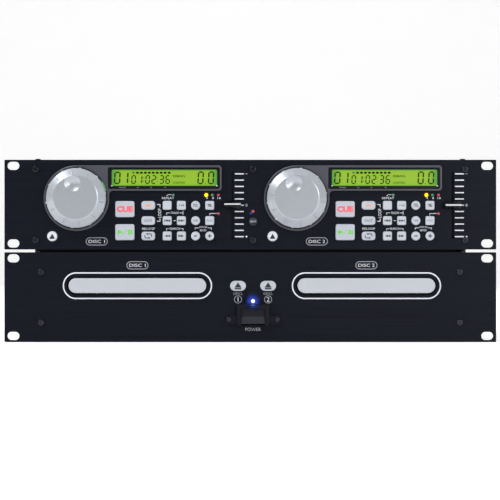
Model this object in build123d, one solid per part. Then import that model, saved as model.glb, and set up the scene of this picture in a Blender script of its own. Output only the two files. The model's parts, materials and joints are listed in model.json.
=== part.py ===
from build123d import *
import os
from math import atan2, degrees, radians, sqrt, tan

# Twin disc player for a 19 inch rack: a two-deck controller that stands on its disc drive unit.
# Millimetres. X runs right along the faceplates, Y runs back into the units and Z runs up.
# Every piece is modelled with the front of both faceplates at Y = 0 and is moved to the
# assembly's own origin, at the middle of its base, when it is written out.

# ---------------------------------------------------------------- faceplates
PANEL_W = 482.6
PANEL_H = 88.1
PANEL_T = 3.0
PANEL_CORNER = 0.8
RACK_EDGE_X = 8.75
RACK_EDGE_Z = 5.95
RACK_PITCH_X = PANEL_W - 2 * RACK_EDGE_X
RACK_PITCH_Z = PANEL_H - 2 * RACK_EDGE_Z
RACK_SLOT_L = 11.8
RACK_SLOT_W = 8.0

# ---------------------------------------------------------------- cases
# Each faceplate reaches past its case by a drop below and a rise above.
CASE_W = 428.0
SHEET = 1.0
FOOT_H = 2.5
STACK_FOOT_H = 3.2
DRIVE_PANEL_DROP = 2.2
CONTROL_PANEL_DROP = 0.5
CONTROL_PANEL_RISE = 0.4
DRIVE_CASE_H = PANEL_H - DRIVE_PANEL_DROP
CONTROL_CASE_H = PANEL_H - CONTROL_PANEL_DROP - CONTROL_PANEL_RISE
DRIVE_DEPTH = 253.0
CONTROL_DEPTH = 74.0
COVER_LIP = 12.0
TOP_LEDGE = 8.5
FRAME_SIDE = 7.5
FRAME_EDGE = 5.0
FRAME_GAP = 2.5
TAB_W = 14.0
TAB_REACH = 6.0
FOOT_D = 12.0
FOOT_SET_BACK = 18.0
FOOT_REAR_MARGIN = 5.0
VENT_W = 3.0
VENT_L = 36.0
VENT_PITCH = 8.0
VENT_COUNT = 11
VENT_MARGIN = 32.0
SIDE_VENT_L = 26.0
DRIVE_VENT_X = 70.0
DRIVE_VENT_Y = 150.0
CONTROL_VENT_Y = 44.0
PAST = 1.0  # how far a cutting form runs past the face that it cuts

# ---------------------------------------------------------------- heights of the stack
DRIVE_BASE = FOOT_H
DRIVE_TOP = DRIVE_BASE + DRIVE_CASE_H
DRIVE_MID = DRIVE_BASE - DRIVE_PANEL_DROP + PANEL_H / 2
CONTROL_BASE = DRIVE_TOP + STACK_FOOT_H
CONTROL_TOP = CONTROL_BASE + CONTROL_CASE_H
CONTROL_MID = CONTROL_BASE - CONTROL_PANEL_DROP + PANEL_H / 2
DRIVE_BACK = DRIVE_DEPTH - SHEET
CONTROL_BACK = CONTROL_DEPTH - SHEET

# ---------------------------------------------------------------- fasteners
HEAD_R = 3.1
HEAD_H = 2.0
SHANK_R = 1.5
SHANK_L = 7.0
SHANK_GAP = 0.1
COVER_HEAD_R = 2.75
COVER_HEAD_H = 1.9
COVER_SHANK_L = 5.0
CROSS_W = 0.9
CROSS_L = 3.4
CROSS_DEPTH = 0.9
STUD_R = 3.0
CONTROL_SCREW_INSET = 3.3
CONTROL_SCREW_EDGE = 9.25
CONTROL_SCREW_X = CASE_W / 2 - CONTROL_SCREW_INSET
CONTROL_SCREW_Z = PANEL_H / 2 - CONTROL_SCREW_EDGE
DRIVE_SCREW_INSET = 8.6
DRIVE_SCREW_X = CASE_W / 2 - DRIVE_SCREW_INSET
DRIVE_SCREW_Z = 24.8
COVER_SCREW_INSET = 4.5
COVER_SCREW_SET_BACK = 9.0

# ---------------------------------------------------------------- key caps and what is under them
KEY_PROUD = 2.6
KEY_GAP = 0.25
KEY_EDGE = 0.7
KEY_TRAVEL = 0.8
FLANGE_OVER = 0.9
FLANGE_T = 1.2
FLANGE_GAP = 0.2
BOARD_T = 1.6
BOARD_SET_BACK = 12.0
SWITCH_W = 6.0
SWITCH_H = 3.5
PLUNGER_R = 1.7
PLUNGER_H = 0.9
STOP_GAP = 0.1
LED_R = 1.1
LED_GAP = 0.15
LED_PROUD = 0.3

# ---------------------------------------------------------------- layout across the panels
# The decks, trays and centre controls stand a little to the right of the panels' middle.
LAYOUT_SHIFT = 1.6
CENTRE_X = 2.7
DECK_PITCH = 216.0
TRAY_PITCH = 224.7

# ---------------------------------------------------------------- jog wheels
# Places on a deck are measured from the deck's middle and from the panel's middle height.
JOG_X = -64.1
JOG_Z = 6.35
JOG_R = 29.2
JOG_TOP_R = 22.5
JOG_H = 15.0
JOG_RIM_H = 8.4
JOG_WALL = 2.4
JOG_TOP_T = 3.0
JOG_GAP = 0.8
JOG_HUB_R = 7.0
JOG_BUMPS = 10
JOG_BUMP_R = 0.8
JOG_BUMP_START = 8.0
DIMPLE_R = 7.5
DIMPLE_DEPTH = 2.4
DIMPLE_X = -3.0
DIMPLE_Z = 13.4
DIMPLE_WALL = 1.4
SHAFT_R = 3.0
SHAFT_GAP = 0.05
SHAFT_END = 10.5
SHAFT_END_GAP = 0.8
BUSH_R = 4.6
BUSH_GAP = 0.2
ENCODER_W = 15.0

# ---------------------------------------------------------------- displays and their bezels
RING_BAND = 2.2
RING_GAP = 0.8
RING_R = JOG_R + RING_GAP + RING_BAND
BEZEL_PROUD = 3.0
BEZEL_BAND = 1.7
BEZEL_TOP_BAND = 2.0
BEZEL_CORNER = 3.0
BEZEL_NECK_R = 4.0
BEZEL_EDGE = 0.9
WINDOW_W = 109.8
WINDOW_H = 21.3
WINDOW_CORNER = 2.0
WINDOW_T = 2.0
WINDOW_RECESS = 0.8
WINDOW_GAP = 0.1
WINDOW_RING_WALL = 0.9
WINDOW_X = JOG_X + JOG_R + RING_GAP + WINDOW_RING_WALL + WINDOW_W / 2
WINDOW_Z = JOG_Z + RING_R - BEZEL_TOP_BAND - WINDOW_H / 2
BEZEL_RIGHT = WINDOW_X + WINDOW_W / 2 + BEZEL_BAND
BEZEL_BOTTOM = WINDOW_Z - WINDOW_H / 2 - BEZEL_BAND
LCD_W = 102.8
LCD_H = 15.6
LCD_MARGIN = 1.4
LCD_GAP = 0.3
LCD_CORNER = 1.0
LCD_HALF_W = LCD_W / 2 + LCD_MARGIN
LCD_HALF_H = LCD_H / 2 + LCD_MARGIN

# ---------------------------------------------------------------- rows and columns of keys
SMALL_KEY = 8.7
SMALL_CORNER = 1.5
BIG_KEY_W = 18.8
BIG_KEY_H = 15.7
BIG_CORNER = 2.0
LOOP_KEY_W = 13.3
LOOP_KEY_H = 8.4
LOOP_CORNER = 2.8
EJECT_D = 9.8
CUE_SPACE = 5.9
LOOP_SPACE = 6.9
SMALL_SPACE = 7.55
KEY_SPACE_X = 5.2
KEY_SPACE_Z = 6.3
BIG_KEY_INSET = 0.2
KEY_PITCH_X = SMALL_KEY + KEY_SPACE_X
KEY_PITCH_Z = SMALL_KEY + KEY_SPACE_Z
COLUMN_CUE = JOG_X + RING_R + CUE_SPACE + BIG_KEY_W / 2
COLUMN_LOOP = COLUMN_CUE + (BIG_KEY_W + LOOP_KEY_W) / 2 + LOOP_SPACE
COLUMN_A = COLUMN_LOOP + (LOOP_KEY_W + SMALL_KEY) / 2 + SMALL_SPACE
COLUMN_B = COLUMN_A + KEY_PITCH_X
COLUMN_C = COLUMN_B + KEY_PITCH_X
COLUMN_D = COLUMN_C + KEY_PITCH_X
TOP = -0.75
MIDDLE = TOP - KEY_PITCH_Z
BOTTOM = MIDDLE - KEY_PITCH_Z
ROW_CUE = TOP + (SMALL_KEY - BIG_KEY_H) / 2 - BIG_KEY_INSET
ROW_PLAY = BOTTOM - (SMALL_KEY - BIG_KEY_H) / 2 + BIG_KEY_INSET
EJECT_X = JOG_X - 23.7
EJECT_Z = BOTTOM - 0.3

# ---------------------------------------------------------------- lamps and the middle of the panel
LED_ROW = BEZEL_BOTTOM - 4.1
REPEAT_LED_X = COLUMN_A + 5.7
RANGE_LED_XS = (COLUMN_D - 3.4, COLUMN_D + 2.45, COLUMN_D + 8.5)
PITCH_LED = (COLUMN_D + 8.5, MIDDLE + 7.0)
RELAY_Z = -16.5
RELAY_D = 8.4
RELAY_LED_Z = -6.65
STATUS_LED_Z = -8.75
STATUS_LED_DX = -2.0

# ---------------------------------------------------------------- pitch faders
FADER_SPACE = 9.75
FADER_Z = -0.6
FADER_TRAVEL = 30.0
FADER_SLOT_W = 2.0
FADER_END_GAP = 0.65
FADER_BLADE_T = 1.4
FADER_BLADE_H = 4.6
FADER_BLADE_END = 9.0
FADER_CAP_W = 16.5
FADER_CAP_H = 7.0
FADER_CAP_PROUD = 10.0
FADER_CAP_GAP = 0.6
FADER_CAP_WAIST = 0.8
FADER_BODY_W = 9.0
FADER_BODY_D = 7.0
FADER_BODY_END = 3.05
FADER_X = COLUMN_D + (SMALL_KEY + FADER_CAP_W) / 2 + FADER_SPACE
FADER_SLOT_L = 2 * (FADER_TRAVEL + FADER_END_GAP) + FADER_BLADE_H
FADER_BODY_L = FADER_SLOT_L + 2 * FADER_BODY_END

# ---------------------------------------------------------------- the controller's board
CONTROL_BOARD_SIDE_GAP = 9.0
CONTROL_BOARD_LOW_GAP = 6.5
CONTROL_BOARD_TOP_GAP = 5.0
LEFT_STUD_X = 17.0 - CASE_W / 2
RIGHT_STUD_X = LAYOUT_SHIFT + (DECK_PITCH + WINDOW_X + LCD_HALF_W + FADER_X - FADER_BODY_W / 2) / 2
HIGH_STUD_Z = 32.0
LEFT_STUD_Z = -15.5
RIGHT_STUD_Z = -23.5
MIDDLE_STUD_ZS = (14.5, -25.2)

# ---------------------------------------------------------------- disc trays
TRAY_Z = 11.25
FRONT_W = 135.2
FRONT_H = 14.7
FRONT_T = 5.0
FRONT_PROUD = 0.8
FRONT_EDGE = 0.8
FRONT_GAP = 1.5
TRAY_W = 128.0
TRAY_H = 9.0
TRAY_TRAVEL = 136.0
TRAY_HELD = 32.0
TRAY_L = TRAY_TRAVEL + TRAY_HELD
TONGUE_W = 2.0
TONGUE_H = 3.0
DISC_R = 60.5
DISC_DEPTH = 5.0
SMALL_DISC_R = 40.5
SMALL_DISC_DEPTH = 1.0
DISC_MARGIN = 6.0
PICKUP_SLOT_W = 42.0
PICKUP_SLOT_L = 74.0
PICKUP_SLOT_R = 18.0

# ---------------------------------------------------------------- disc mechanism under each tray
RAIL_GAP = 0.3
RAIL_WALL = 2.0
RAIL_SET_BACK = 6.0
RAIL_L = 184.0
DECK_PLATE_T = 2.0
DECK_PLATE_DROP = 15.0
POST_R = 4.0
POST_INSET = 10.0
TURNTABLE_R = 15.0
TURNTABLE_H = 2.4
CONE_R = 7.3
CONE_H = 1.6
MOTOR_R = 12.0
SPINDLE_NECK = 1.0
TURNTABLE_GAP = 0.4
SLED_W = 40.0
SLED_L = 24.0
SLED_H = 7.0
LENS_R = 3.2
LENS_H = 1.2
GUIDE_R = 1.5
GUIDE_L = 84.0
GUIDE_BLOCK = 5.0
SLED_PLACE = 24.0
LOAD_MOTOR_R = 7.0
LOAD_MOTOR_H = 10.0
LOAD_PINION_R = 3.5
LOAD_PINION_H = 2.0
LOAD_GEAR_R = 11.0
LOAD_GEAR_T = 2.5
LOAD_GEAR_GAP = 2.5
LOAD_SET_BACK = 14.0
LOAD_X = 44.0
BRIDGE_L = 26.0
BRIDGE_T = 1.5
BRIDGE_RISE = 4.0
CLAMP_R = 14.0
CLAMP_GAP = 1.2

# ---------------------------------------------------------------- front controls of the drive unit
OPEN_X = 14.75
OPEN_Z = 11.05
OPEN_W = 15.6
OPEN_H = 9.9
POWER_LED_Z = -3.95
FRONT_BOARD_W = 66.0
FRONT_BOARD_H = 28.0
FRONT_BOARD_MARGIN = 2.4
FRONT_STUD_INSET = 4.5
FRONT_STUD_RISE = 8.0
ROCKER_Z = -19.55
ROCKER_W = 22.7
ROCKER_HALF = 7.16
ROCKER_REACH = 5.5
ROCKER_BACK = 2.5
ROCKER_BACK_HALF = 5.0
ROCKER_TILT = 6.0
ROCKER_GAP = 0.3
ROCKER_PIVOT_Y = 1.5
ROCKER_WINDOW_H = 15.9
PIVOT_R = 1.5
PIVOT_GAP = 0.06
PIVOT_REACH = 0.9
SWITCH_WALL = 1.5
SWITCH_DEPTH = 22.0
SWITCH_WELL = 12.0
GUARD_W = 32.0
GUARD_TOP = -6.85
GUARD_BOTTOM = -27.95
GUARD_PROUD = 5.0
GUARD_CORNER = 2.0
GUARD_EDGE = 1.2
EAR_W = 53.6
EAR_TOP = -18.15
EAR_BOTTOM = -26.45
EAR_T = 2.0
EAR_SCREW_X = 23.8
EAR_SCREW_Z = -21.75
SMALL_HEAD_R = 2.4
SMALL_HEAD_H = 1.6

# ---------------------------------------------------------------- sockets on the backs
# Heights are measured from the middle of the unit's faceplate.
PHONO_R = 4.15
PHONO_L = 9.0
PHONO_BASE_R = 5.5
PHONO_BASE_L = 2.0
PHONO_PIN_R = 1.65
PHONO_BODY = 13.0
PHONO_BODY_D = 10.0
PHONO_X = (-186.0, -92.0)
PHONO_PITCH = 18.0
PHONO_Z = -1.35
COAX_DX = 24.0
LINK_DX = 50.0
LINK_BORE_R = 4.75
LINK_BORE_L = 8.0
LINK_NOSE_R = 6.4
LINK_NOSE_L = 1.5
LINK_BODY = 15.0
LINK_BODY_D = 12.0
LINK_CONTROL_X = 45.0
LINK_CONTROL_Z = -17.65
START_X = 75.0
START_BORE_R = 1.8
START_BORE_L = 14.0
START_NOSE_R = 4.0
START_NOSE_L = 2.5
START_BODY_W = 9.0
START_BODY_D = 13.0
NOSE_GAP = 0.2
INLET_X = 165.0
INLET_Z = 0.65
INLET_FLANGE_W = 50.0
INLET_FLANGE_H = 27.0
INLET_FLANGE_T = 2.0
INLET_BODY_W = 28.0
INLET_BODY_H = 20.5
INLET_BODY_D = 20.0
INLET_WELL_W = 24.2
INLET_WELL_H = 16.8
INLET_WELL_D = 17.0
INLET_SCREW_X = 20.0
BLADE_W = 2.0
BLADE_H = 4.0
BLADE_L = 13.0
BLADE_X = 7.0
BLADE_Z = -1.0
EARTH_Z = 4.5
SUPPLY_X = 84.0
SUPPLY_Y = 222.0
SUPPLY_W = 46.0
SUPPLY_D = 38.0
SUPPLY_H = 40.0
COIL_OVER = 6.0

# ---------------------------------------------------------------- the drive unit's main board
MAIN_BOARD_H = 9.0
MAIN_BOARD_HALF = 33.0
MAIN_BOARD_NEAR = 46.0
MAIN_BOARD_FAR = 190.0
MAIN_STUD_INSET = 5.0
CAPACITORS = ((-20.0, 8.0), (0.0, 8.0), (18.0, 5.0))
CAPACITOR_SET_BACK = 60.0
CAPACITOR_H = 24.4


# ================================================================ plain building forms
def slab(outline, near, far):
    """A sketch drawn as seen from the front, made solid from depth near back to depth far."""
    return extrude(Plane.XZ.offset(-far) * outline, amount=far - near)


def rod(x, z, radius, near, far):
    """A round bar that runs from front to back."""
    return slab(Pos(x, z) * Circle(radius), near, far)


def bar(left, right, near, far, low, high):
    """A block between the given limits."""
    middle = ((left + right) / 2, (near + far) / 2, (low + high) / 2)
    return Pos(*middle) * Box(right - left, far - near, high - low)


def side_bar(side, inner, outer, *limits):
    """A block on the left, where side is -1, or on the right, from its inner to its outer distance."""
    return bar(*sorted((side * inner, side * outer)), *limits)


def post(x, y, radius, low, high):
    """An upright round bar."""
    return Pos(x, y, (low + high) / 2) * Cylinder(radius, high - low)


def rounded(x, z, width, height, corner):
    """A rectangle with round corners, whose corner is never more than its half side allows."""
    limit = 0.49 * min(width, height)
    return Pos(x, z) * RectangleRounded(width, height, min(corner, limit))


def front_edges(solid):
    """The edges of the face that lies furthest to the front."""
    return solid.faces().sort_by(Axis.Y)[0].edges()


def union(pieces):
    """All the pieces as one solid."""
    first, *rest = pieces
    return first + rest if rest else first


def cross_screw(head_r, head_h, shank_l):
    """A pan head screw that points down, with its seat at height 0."""
    head = Cylinder(head_r, head_h, align=(Align.CENTER, Align.CENTER, Align.MIN))
    head = fillet(head.edges().sort_by(Axis.Z)[-1], 0.4 * head_h)
    arms = [Box(CROSS_L, CROSS_W, 2 * CROSS_DEPTH), Box(CROSS_W, CROSS_L, 2 * CROSS_DEPTH)]
    shank = Cylinder(SHANK_R, shank_l, align=(Align.CENTER, Align.CENTER, Align.MAX))
    return head + shank - [Pos(0, 0, head_h) * arm for arm in arms]


FACE_FRONT = Rot(90, 0, 0)
FACE_BACK = Rot(-90, 0, 0)

NODES = {}


def node(name, *pieces):
    """Keeps the pieces as one named sub-part, each a solid of its own."""
    NODES[name] = [solid for piece in pieces for solid in piece.solids()]


# ================================================================ key caps
def key_outline(kind, width, height, corner, grow=0.0):
    """The outline of a key, of its hole or of its flange, by how much it grows on each side."""
    wide, high = width + 2 * grow, height + 2 * grow
    if kind == "round":
        return Circle(wide / 2)
    if kind == "pill":
        return SlotOverall(wide, high)
    return RectangleRounded(wide, high, min(corner + grow, 0.49 * min(wide, high)))


FLANGE_NEAR = PANEL_T + FLANGE_GAP
FLANGE_FAR = FLANGE_NEAR + FLANGE_T
PLUNGER_NEAR = BOARD_SET_BACK - SWITCH_H - PLUNGER_H
STEM_END = PLUNGER_NEAR - KEY_TRAVEL - STOP_GAP


def key_cap(x, z, kind, width, height, corner):
    """A key cap: its body through the panel, the flange that holds it in and its stem."""
    cap = slab(Pos(x, z) * key_outline(kind, width, height, corner), -KEY_PROUD, FLANGE_NEAR)
    cap = fillet(front_edges(cap), KEY_EDGE)
    flange_outline = Pos(x, z) * key_outline(kind, width, height, corner, FLANGE_OVER)
    stem = rod(x, z, PLUNGER_R, FLANGE_FAR, STEM_END)
    return cap + slab(flange_outline, FLANGE_NEAR, FLANGE_FAR) + stem


def key_hole(x, z, kind, width, height, corner):
    """The hole in the panel round a key cap."""
    return Pos(x, z) * key_outline(kind, width, height, corner, KEY_GAP)


def push_switch(x, z):
    """The push switch behind a key, on its board."""
    half = SWITCH_W / 2
    body = bar(x - half, x + half, BOARD_SET_BACK - SWITCH_H, BOARD_SET_BACK, z - half, z + half)
    return body + rod(x, z, PLUNGER_R, PLUNGER_NEAR, BOARD_SET_BACK - SWITCH_H)


def lamp(x, z):
    """A round indicator lamp that reaches from its board into the panel."""
    return rod(x, z, LED_R, -LED_PROUD, BOARD_SET_BACK)


SQUARE_KEY = ("square", SMALL_KEY, SMALL_KEY, SMALL_CORNER)
ROUND_KEY = ("round", SMALL_KEY, SMALL_KEY, SMALL_CORNER)
BIG_KEY = ("square", BIG_KEY_W, BIG_KEY_H, BIG_CORNER)
LOOP_KEY = ("square", LOOP_KEY_W, LOOP_KEY_H, LOOP_CORNER)

# Each key of a deck: its name, its place and its form.
DECK_KEYS = (
    ("cue_key", COLUMN_CUE, ROW_CUE, BIG_KEY),
    ("play_pause_key", COLUMN_CUE, ROW_PLAY, BIG_KEY),
    ("loop_in_key", COLUMN_LOOP, TOP, LOOP_KEY),
    ("loop_out_key", COLUMN_LOOP, MIDDLE, LOOP_KEY),
    ("reloop_key", COLUMN_LOOP, BOTTOM, LOOP_KEY),
    ("repeat_key", COLUMN_A, TOP, SQUARE_KEY),
    ("track_back_key", COLUMN_A, MIDDLE, SQUARE_KEY),
    ("search_back_key", COLUMN_A, BOTTOM, SQUARE_KEY),
    ("plus_ten_key", COLUMN_B, TOP, SQUARE_KEY),
    ("track_next_key", COLUMN_B, MIDDLE, SQUARE_KEY),
    ("search_next_key", COLUMN_B, BOTTOM, SQUARE_KEY),
    ("single_key", COLUMN_C, TOP, ROUND_KEY),
    ("time_key", COLUMN_C, MIDDLE, ROUND_KEY),
    ("bend_minus_key", COLUMN_C, BOTTOM, ROUND_KEY),
    ("percent_key", COLUMN_D, TOP, SQUARE_KEY),
    ("pitch_key", COLUMN_D, MIDDLE, SQUARE_KEY),
    ("bend_plus_key", COLUMN_D, BOTTOM, ROUND_KEY),
    ("eject_key", EJECT_X, EJECT_Z, ("round", EJECT_D, EJECT_D, 0.0)),
)
DECKS = {1: LAYOUT_SHIFT - DECK_PITCH / 2, 2: LAYOUT_SHIFT + DECK_PITCH / 2}
TRAYS = {1: LAYOUT_SHIFT - TRAY_PITCH / 2, 2: LAYOUT_SHIFT + TRAY_PITCH / 2}
RELAY_KEY = (CENTRE_X, CONTROL_MID + RELAY_Z, "round", RELAY_D, RELAY_D, 0.0)
OPEN_KEYS = {
    number: (CENTRE_X + side * OPEN_X, DRIVE_MID + OPEN_Z, "pill", OPEN_W, OPEN_H, 0.0)
    for number, side in ((1, -1), (2, 1))
}


def deck_keys(number):
    """The keys of one deck, as name, place and form in the assembly."""
    for name, dx, dz, form in DECK_KEYS:
        yield f"{name}_{number}", (DECKS[number] + dx, CONTROL_MID + dz, *form)


def deck_lamps(number):
    """The places of one deck's indicator lamps."""
    places = [(dx, LED_ROW) for dx in (REPEAT_LED_X, *RANGE_LED_XS)] + [PITCH_LED]
    return [(DECKS[number] + dx, CONTROL_MID + dz) for dx, dz in places]


CENTRE_LAMPS = [(CENTRE_X, CONTROL_MID + RELAY_LED_Z),
                (CENTRE_X + STATUS_LED_DX, CONTROL_MID + STATUS_LED_Z)]


# ================================================================ faceplates
def rack_plate(middle):
    """A faceplate's outline with its four rack slots."""
    plate = rounded(0, middle, PANEL_W, PANEL_H, PANEL_CORNER)
    places = [(sx * RACK_PITCH_X / 2, middle + sz * RACK_PITCH_Z / 2) for sx in (-1, 1) for sz in (-1, 1)]
    return plate - [Pos(x, z) * SlotOverall(RACK_SLOT_L, RACK_SLOT_W) for x, z in places]


CONTROL_SCREWS = [
    (x, CONTROL_MID + z)
    for x in (-CONTROL_SCREW_X, CENTRE_X, CONTROL_SCREW_X)
    for z in (-CONTROL_SCREW_Z, CONTROL_SCREW_Z)
]
DRIVE_SCREWS = [
    (x, DRIVE_MID + z)
    for x in (-DRIVE_SCREW_X, DRIVE_SCREW_X)
    for z in (-DRIVE_SCREW_Z, DRIVE_SCREW_Z)
]
EAR_SCREWS = [(CENTRE_X + side * EAR_SCREW_X, DRIVE_MID + EAR_SCREW_Z) for side in (-1, 1)]
POWER_LAMP = (CENTRE_X, DRIVE_MID + POWER_LED_Z)
SCREW_HOLE_R = SHANK_R + SHANK_GAP
LAMP_HOLE_R = LED_R + LED_GAP


def control_faceplate():
    """The controller's faceplate, with the holes for all that shows through it."""
    holes = [Pos(x, z) * Circle(SCREW_HOLE_R) for x, z in CONTROL_SCREWS]
    holes += [Pos(x, z) * Circle(LAMP_HOLE_R) for x, z in CENTRE_LAMPS]
    holes.append(key_hole(*RELAY_KEY))
    for number, middle in DECKS.items():
        holes += [key_hole(*place) for _, place in deck_keys(number)]
        holes += [Pos(x, z) * Circle(LAMP_HOLE_R) for x, z in deck_lamps(number)]
        holes.append(Pos(middle + JOG_X, CONTROL_MID + JOG_Z) * Circle(BUSH_R + BUSH_GAP))
        lcd_hole = (2 * (LCD_HALF_W + LCD_GAP), 2 * (LCD_HALF_H + LCD_GAP))
        holes.append(rounded(middle + WINDOW_X, CONTROL_MID + WINDOW_Z, *lcd_hole, LCD_CORNER))
        slot = Rot(0, 0, 90) * SlotOverall(FADER_SLOT_L, FADER_SLOT_W)
        holes.append(Pos(middle + FADER_X, CONTROL_MID + FADER_Z) * slot)
    return slab(rack_plate(CONTROL_MID) - holes, 0, PANEL_T)


SWITCH_W_OUT = ROCKER_W + 2 * (ROCKER_GAP + SWITCH_WALL)
SWITCH_H_OUT = ROCKER_WINDOW_H + 2 * SWITCH_WALL


def drive_faceplate():
    """The drive unit's faceplate, open for the trays, keys, lamp and power switch."""
    holes = [Pos(x, z) * Circle(SCREW_HOLE_R) for x, z in DRIVE_SCREWS + EAR_SCREWS]
    holes += [key_hole(*place) for place in OPEN_KEYS.values()]
    holes.append(Pos(*POWER_LAMP) * Circle(LAMP_HOLE_R))
    for x in TRAYS.values():
        opening = SlotOverall(FRONT_W + 2 * FRONT_GAP, FRONT_H + 2 * FRONT_GAP)
        holes.append(Pos(x, DRIVE_MID + TRAY_Z) * opening)
    hole_size = (SWITCH_W_OUT + 2 * NOSE_GAP, SWITCH_H_OUT + 2 * NOSE_GAP)
    holes.append(rounded(CENTRE_X, DRIVE_MID + ROCKER_Z, *hole_size, NOSE_GAP))
    return slab(rack_plate(DRIVE_MID) - holes, 0, PANEL_T)


# ================================================================ sheet metal cases
COVER_SCREW_X = CASE_W / 2 - COVER_SCREW_INSET
CHASSIS_HALF = CASE_W / 2 - SHEET
CONTROL_FRAME = (CONTROL_MID + BOTTOM - SMALL_KEY / 2 - FLANGE_OVER - FRAME_GAP,
                 CONTROL_MID + WINDOW_Z + LCD_HALF_H + FRAME_GAP)
DRIVE_FRAME = (DRIVE_BASE + FRAME_EDGE, DRIVE_TOP - SHEET - FRAME_EDGE)


def chassis(base, top, back, window, screws, sockets):
    """The sheets of a chassis: floor, back, the frame behind the faceplate and two folded side walls.

    The window is the lowest and the highest height of the opening in the frame.
    """
    half, floor_top, under_cover = CHASSIS_HALF, base + SHEET, top - SHEET
    front, frame_back = PANEL_T, PANEL_T + SHEET
    floor = bar(-half, half, front, back + SHEET, base, floor_top)
    rear = bar(-half, half, back, back + SHEET, floor_top, under_cover)
    rear -= [socket_hole(form, x, z, back) for form, x, z in sockets]

    shanks = [rod(x, z, SCREW_HOLE_R, front - PAST, SHANK_L + SHANK_GAP) for x, z in screws]
    whole = bar(-half, half, front, frame_back, floor_top, under_cover)
    opening = bar(-half + FRAME_SIDE, half - FRAME_SIDE, front - PAST, frame_back + PAST, *window)
    tabs = [
        whole & bar(x - TAB_W / 2, x + TAB_W / 2, front, frame_back, z - TAB_REACH, z + TAB_REACH)
        for x, z in screws
    ]
    frame = whole - opening + tabs - shanks

    ledge_low = under_cover - SHEET
    cuts = [post(x, y, SCREW_HOLE_R, ledge_low - PAST, top) for x, y in cover_screws(back)]
    cuts += shanks + side_vents(base, top, back)
    walls = []
    for side in (-1, 1):
        wall = side_bar(side, half - SHEET, half, frame_back, back, floor_top, under_cover)
        ledge = side_bar(side, half - TOP_LEDGE, half, frame_back, back, ledge_low, under_cover)
        walls.append(wall + ledge - cuts)
    return [floor, rear, frame, *walls]


def cover_screws(back):
    """The places of a cover's screws, near its front and near its back."""
    depths = (PANEL_T + COVER_SCREW_SET_BACK, back - COVER_SCREW_SET_BACK)
    return [(side * COVER_SCREW_X, y) for side in (-1, 1) for y in depths]


def vent_offsets(count):
    """The distances of a row of vent slots from the middle of the row."""
    return [(index - (count - 1) / 2) * VENT_PITCH for index in range(count)]


def side_vents(base, top, back):
    """A row of upright slots through both side walls, centred on the case's depth."""
    count = min(VENT_COUNT, int((back - VENT_MARGIN) / VENT_PITCH))
    middle_y, middle_z = (PANEL_T + back) / 2, (base + top) / 2
    slot = Rot(0, 90, 0) * extrude(SlotOverall(SIDE_VENT_L, VENT_W), amount=CASE_W, both=True)
    return [Pos(0, middle_y + dy, middle_z) * slot for dy in vent_offsets(count)]


def cover(top, back, vent_x, vent_y):
    """A top cover with lips down both sides, screw holes and two groups of vent slots."""
    half = CASE_W / 2
    plate = bar(-half, half, PANEL_T, back + SHEET, top - SHEET, top)
    lips = [
        side_bar(side, half - SHEET, half, PANEL_T, back + SHEET, top - COVER_LIP, top)
        for side in (-1, 1)
    ]
    cuts = [post(x, y, SCREW_HOLE_R, top - SHEET - PAST, top + PAST) for x, y in cover_screws(back)]
    slot = Rot(0, 0, 90) * extrude(SlotOverall(VENT_L, VENT_W), amount=SHEET + PAST, both=True)
    cuts += [Pos(x + dx, vent_y, top) * slot for x in (-vent_x, vent_x) for dx in vent_offsets(VENT_COUNT)]
    return plate + lips - cuts


# ================================================================ display bezel
def bezel_outline(middle):
    """The jog ring and display frame as one outline, joined along the top and by a neck below."""
    jog_x, jog_z = middle + JOG_X, CONTROL_MID + JOG_Z
    right, low, high = middle + BEZEL_RIGHT, CONTROL_MID + BEZEL_BOTTOM, jog_z + RING_R
    corner, neck = BEZEL_CORNER, BEZEL_NECK_R
    neck_z = low - neck
    neck_x = jog_x + sqrt((RING_R + neck) ** 2 - (neck_z - jog_z) ** 2)
    turn = degrees(atan2(neck_z - jog_z, neck_x - jog_x))
    return make_face([
        Line((jog_x, high), (right - corner, high)),
        CenterArc((right - corner, high - corner), corner, 90, -90),
        Line((right, high - corner), (right, low + corner)),
        CenterArc((right - corner, low + corner), corner, 0, -90),
        Line((right - corner, low), (neck_x, low)),
        CenterArc((neck_x, neck_z), neck, 90, 90 + turn),
        CenterArc((jog_x, jog_z), RING_R, turn, -270 - turn),
    ])


def bezel(middle):
    """The moulding on the panel: a ring round the jog wheel that runs into a display frame."""
    jog_hole = Pos(middle + JOG_X, CONTROL_MID + JOG_Z) * Circle(JOG_R + RING_GAP)
    window = rounded(middle + WINDOW_X, CONTROL_MID + WINDOW_Z, WINDOW_W, WINDOW_H, WINDOW_CORNER)
    body = slab(bezel_outline(middle) - jog_hole, -BEZEL_PROUD, 0)
    body = fillet(front_edges(body), BEZEL_EDGE)
    return body - slab(window, -BEZEL_PROUD - PAST, PAST)


def window_pane(middle):
    """The clear pane that closes the display frame."""
    size = (WINDOW_W - 2 * WINDOW_GAP, WINDOW_H - 2 * WINDOW_GAP, WINDOW_CORNER)
    outline = rounded(middle + WINDOW_X, CONTROL_MID + WINDOW_Z, *size)
    near = -BEZEL_PROUD + WINDOW_RECESS
    return slab(outline, near, near + WINDOW_T)


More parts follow.
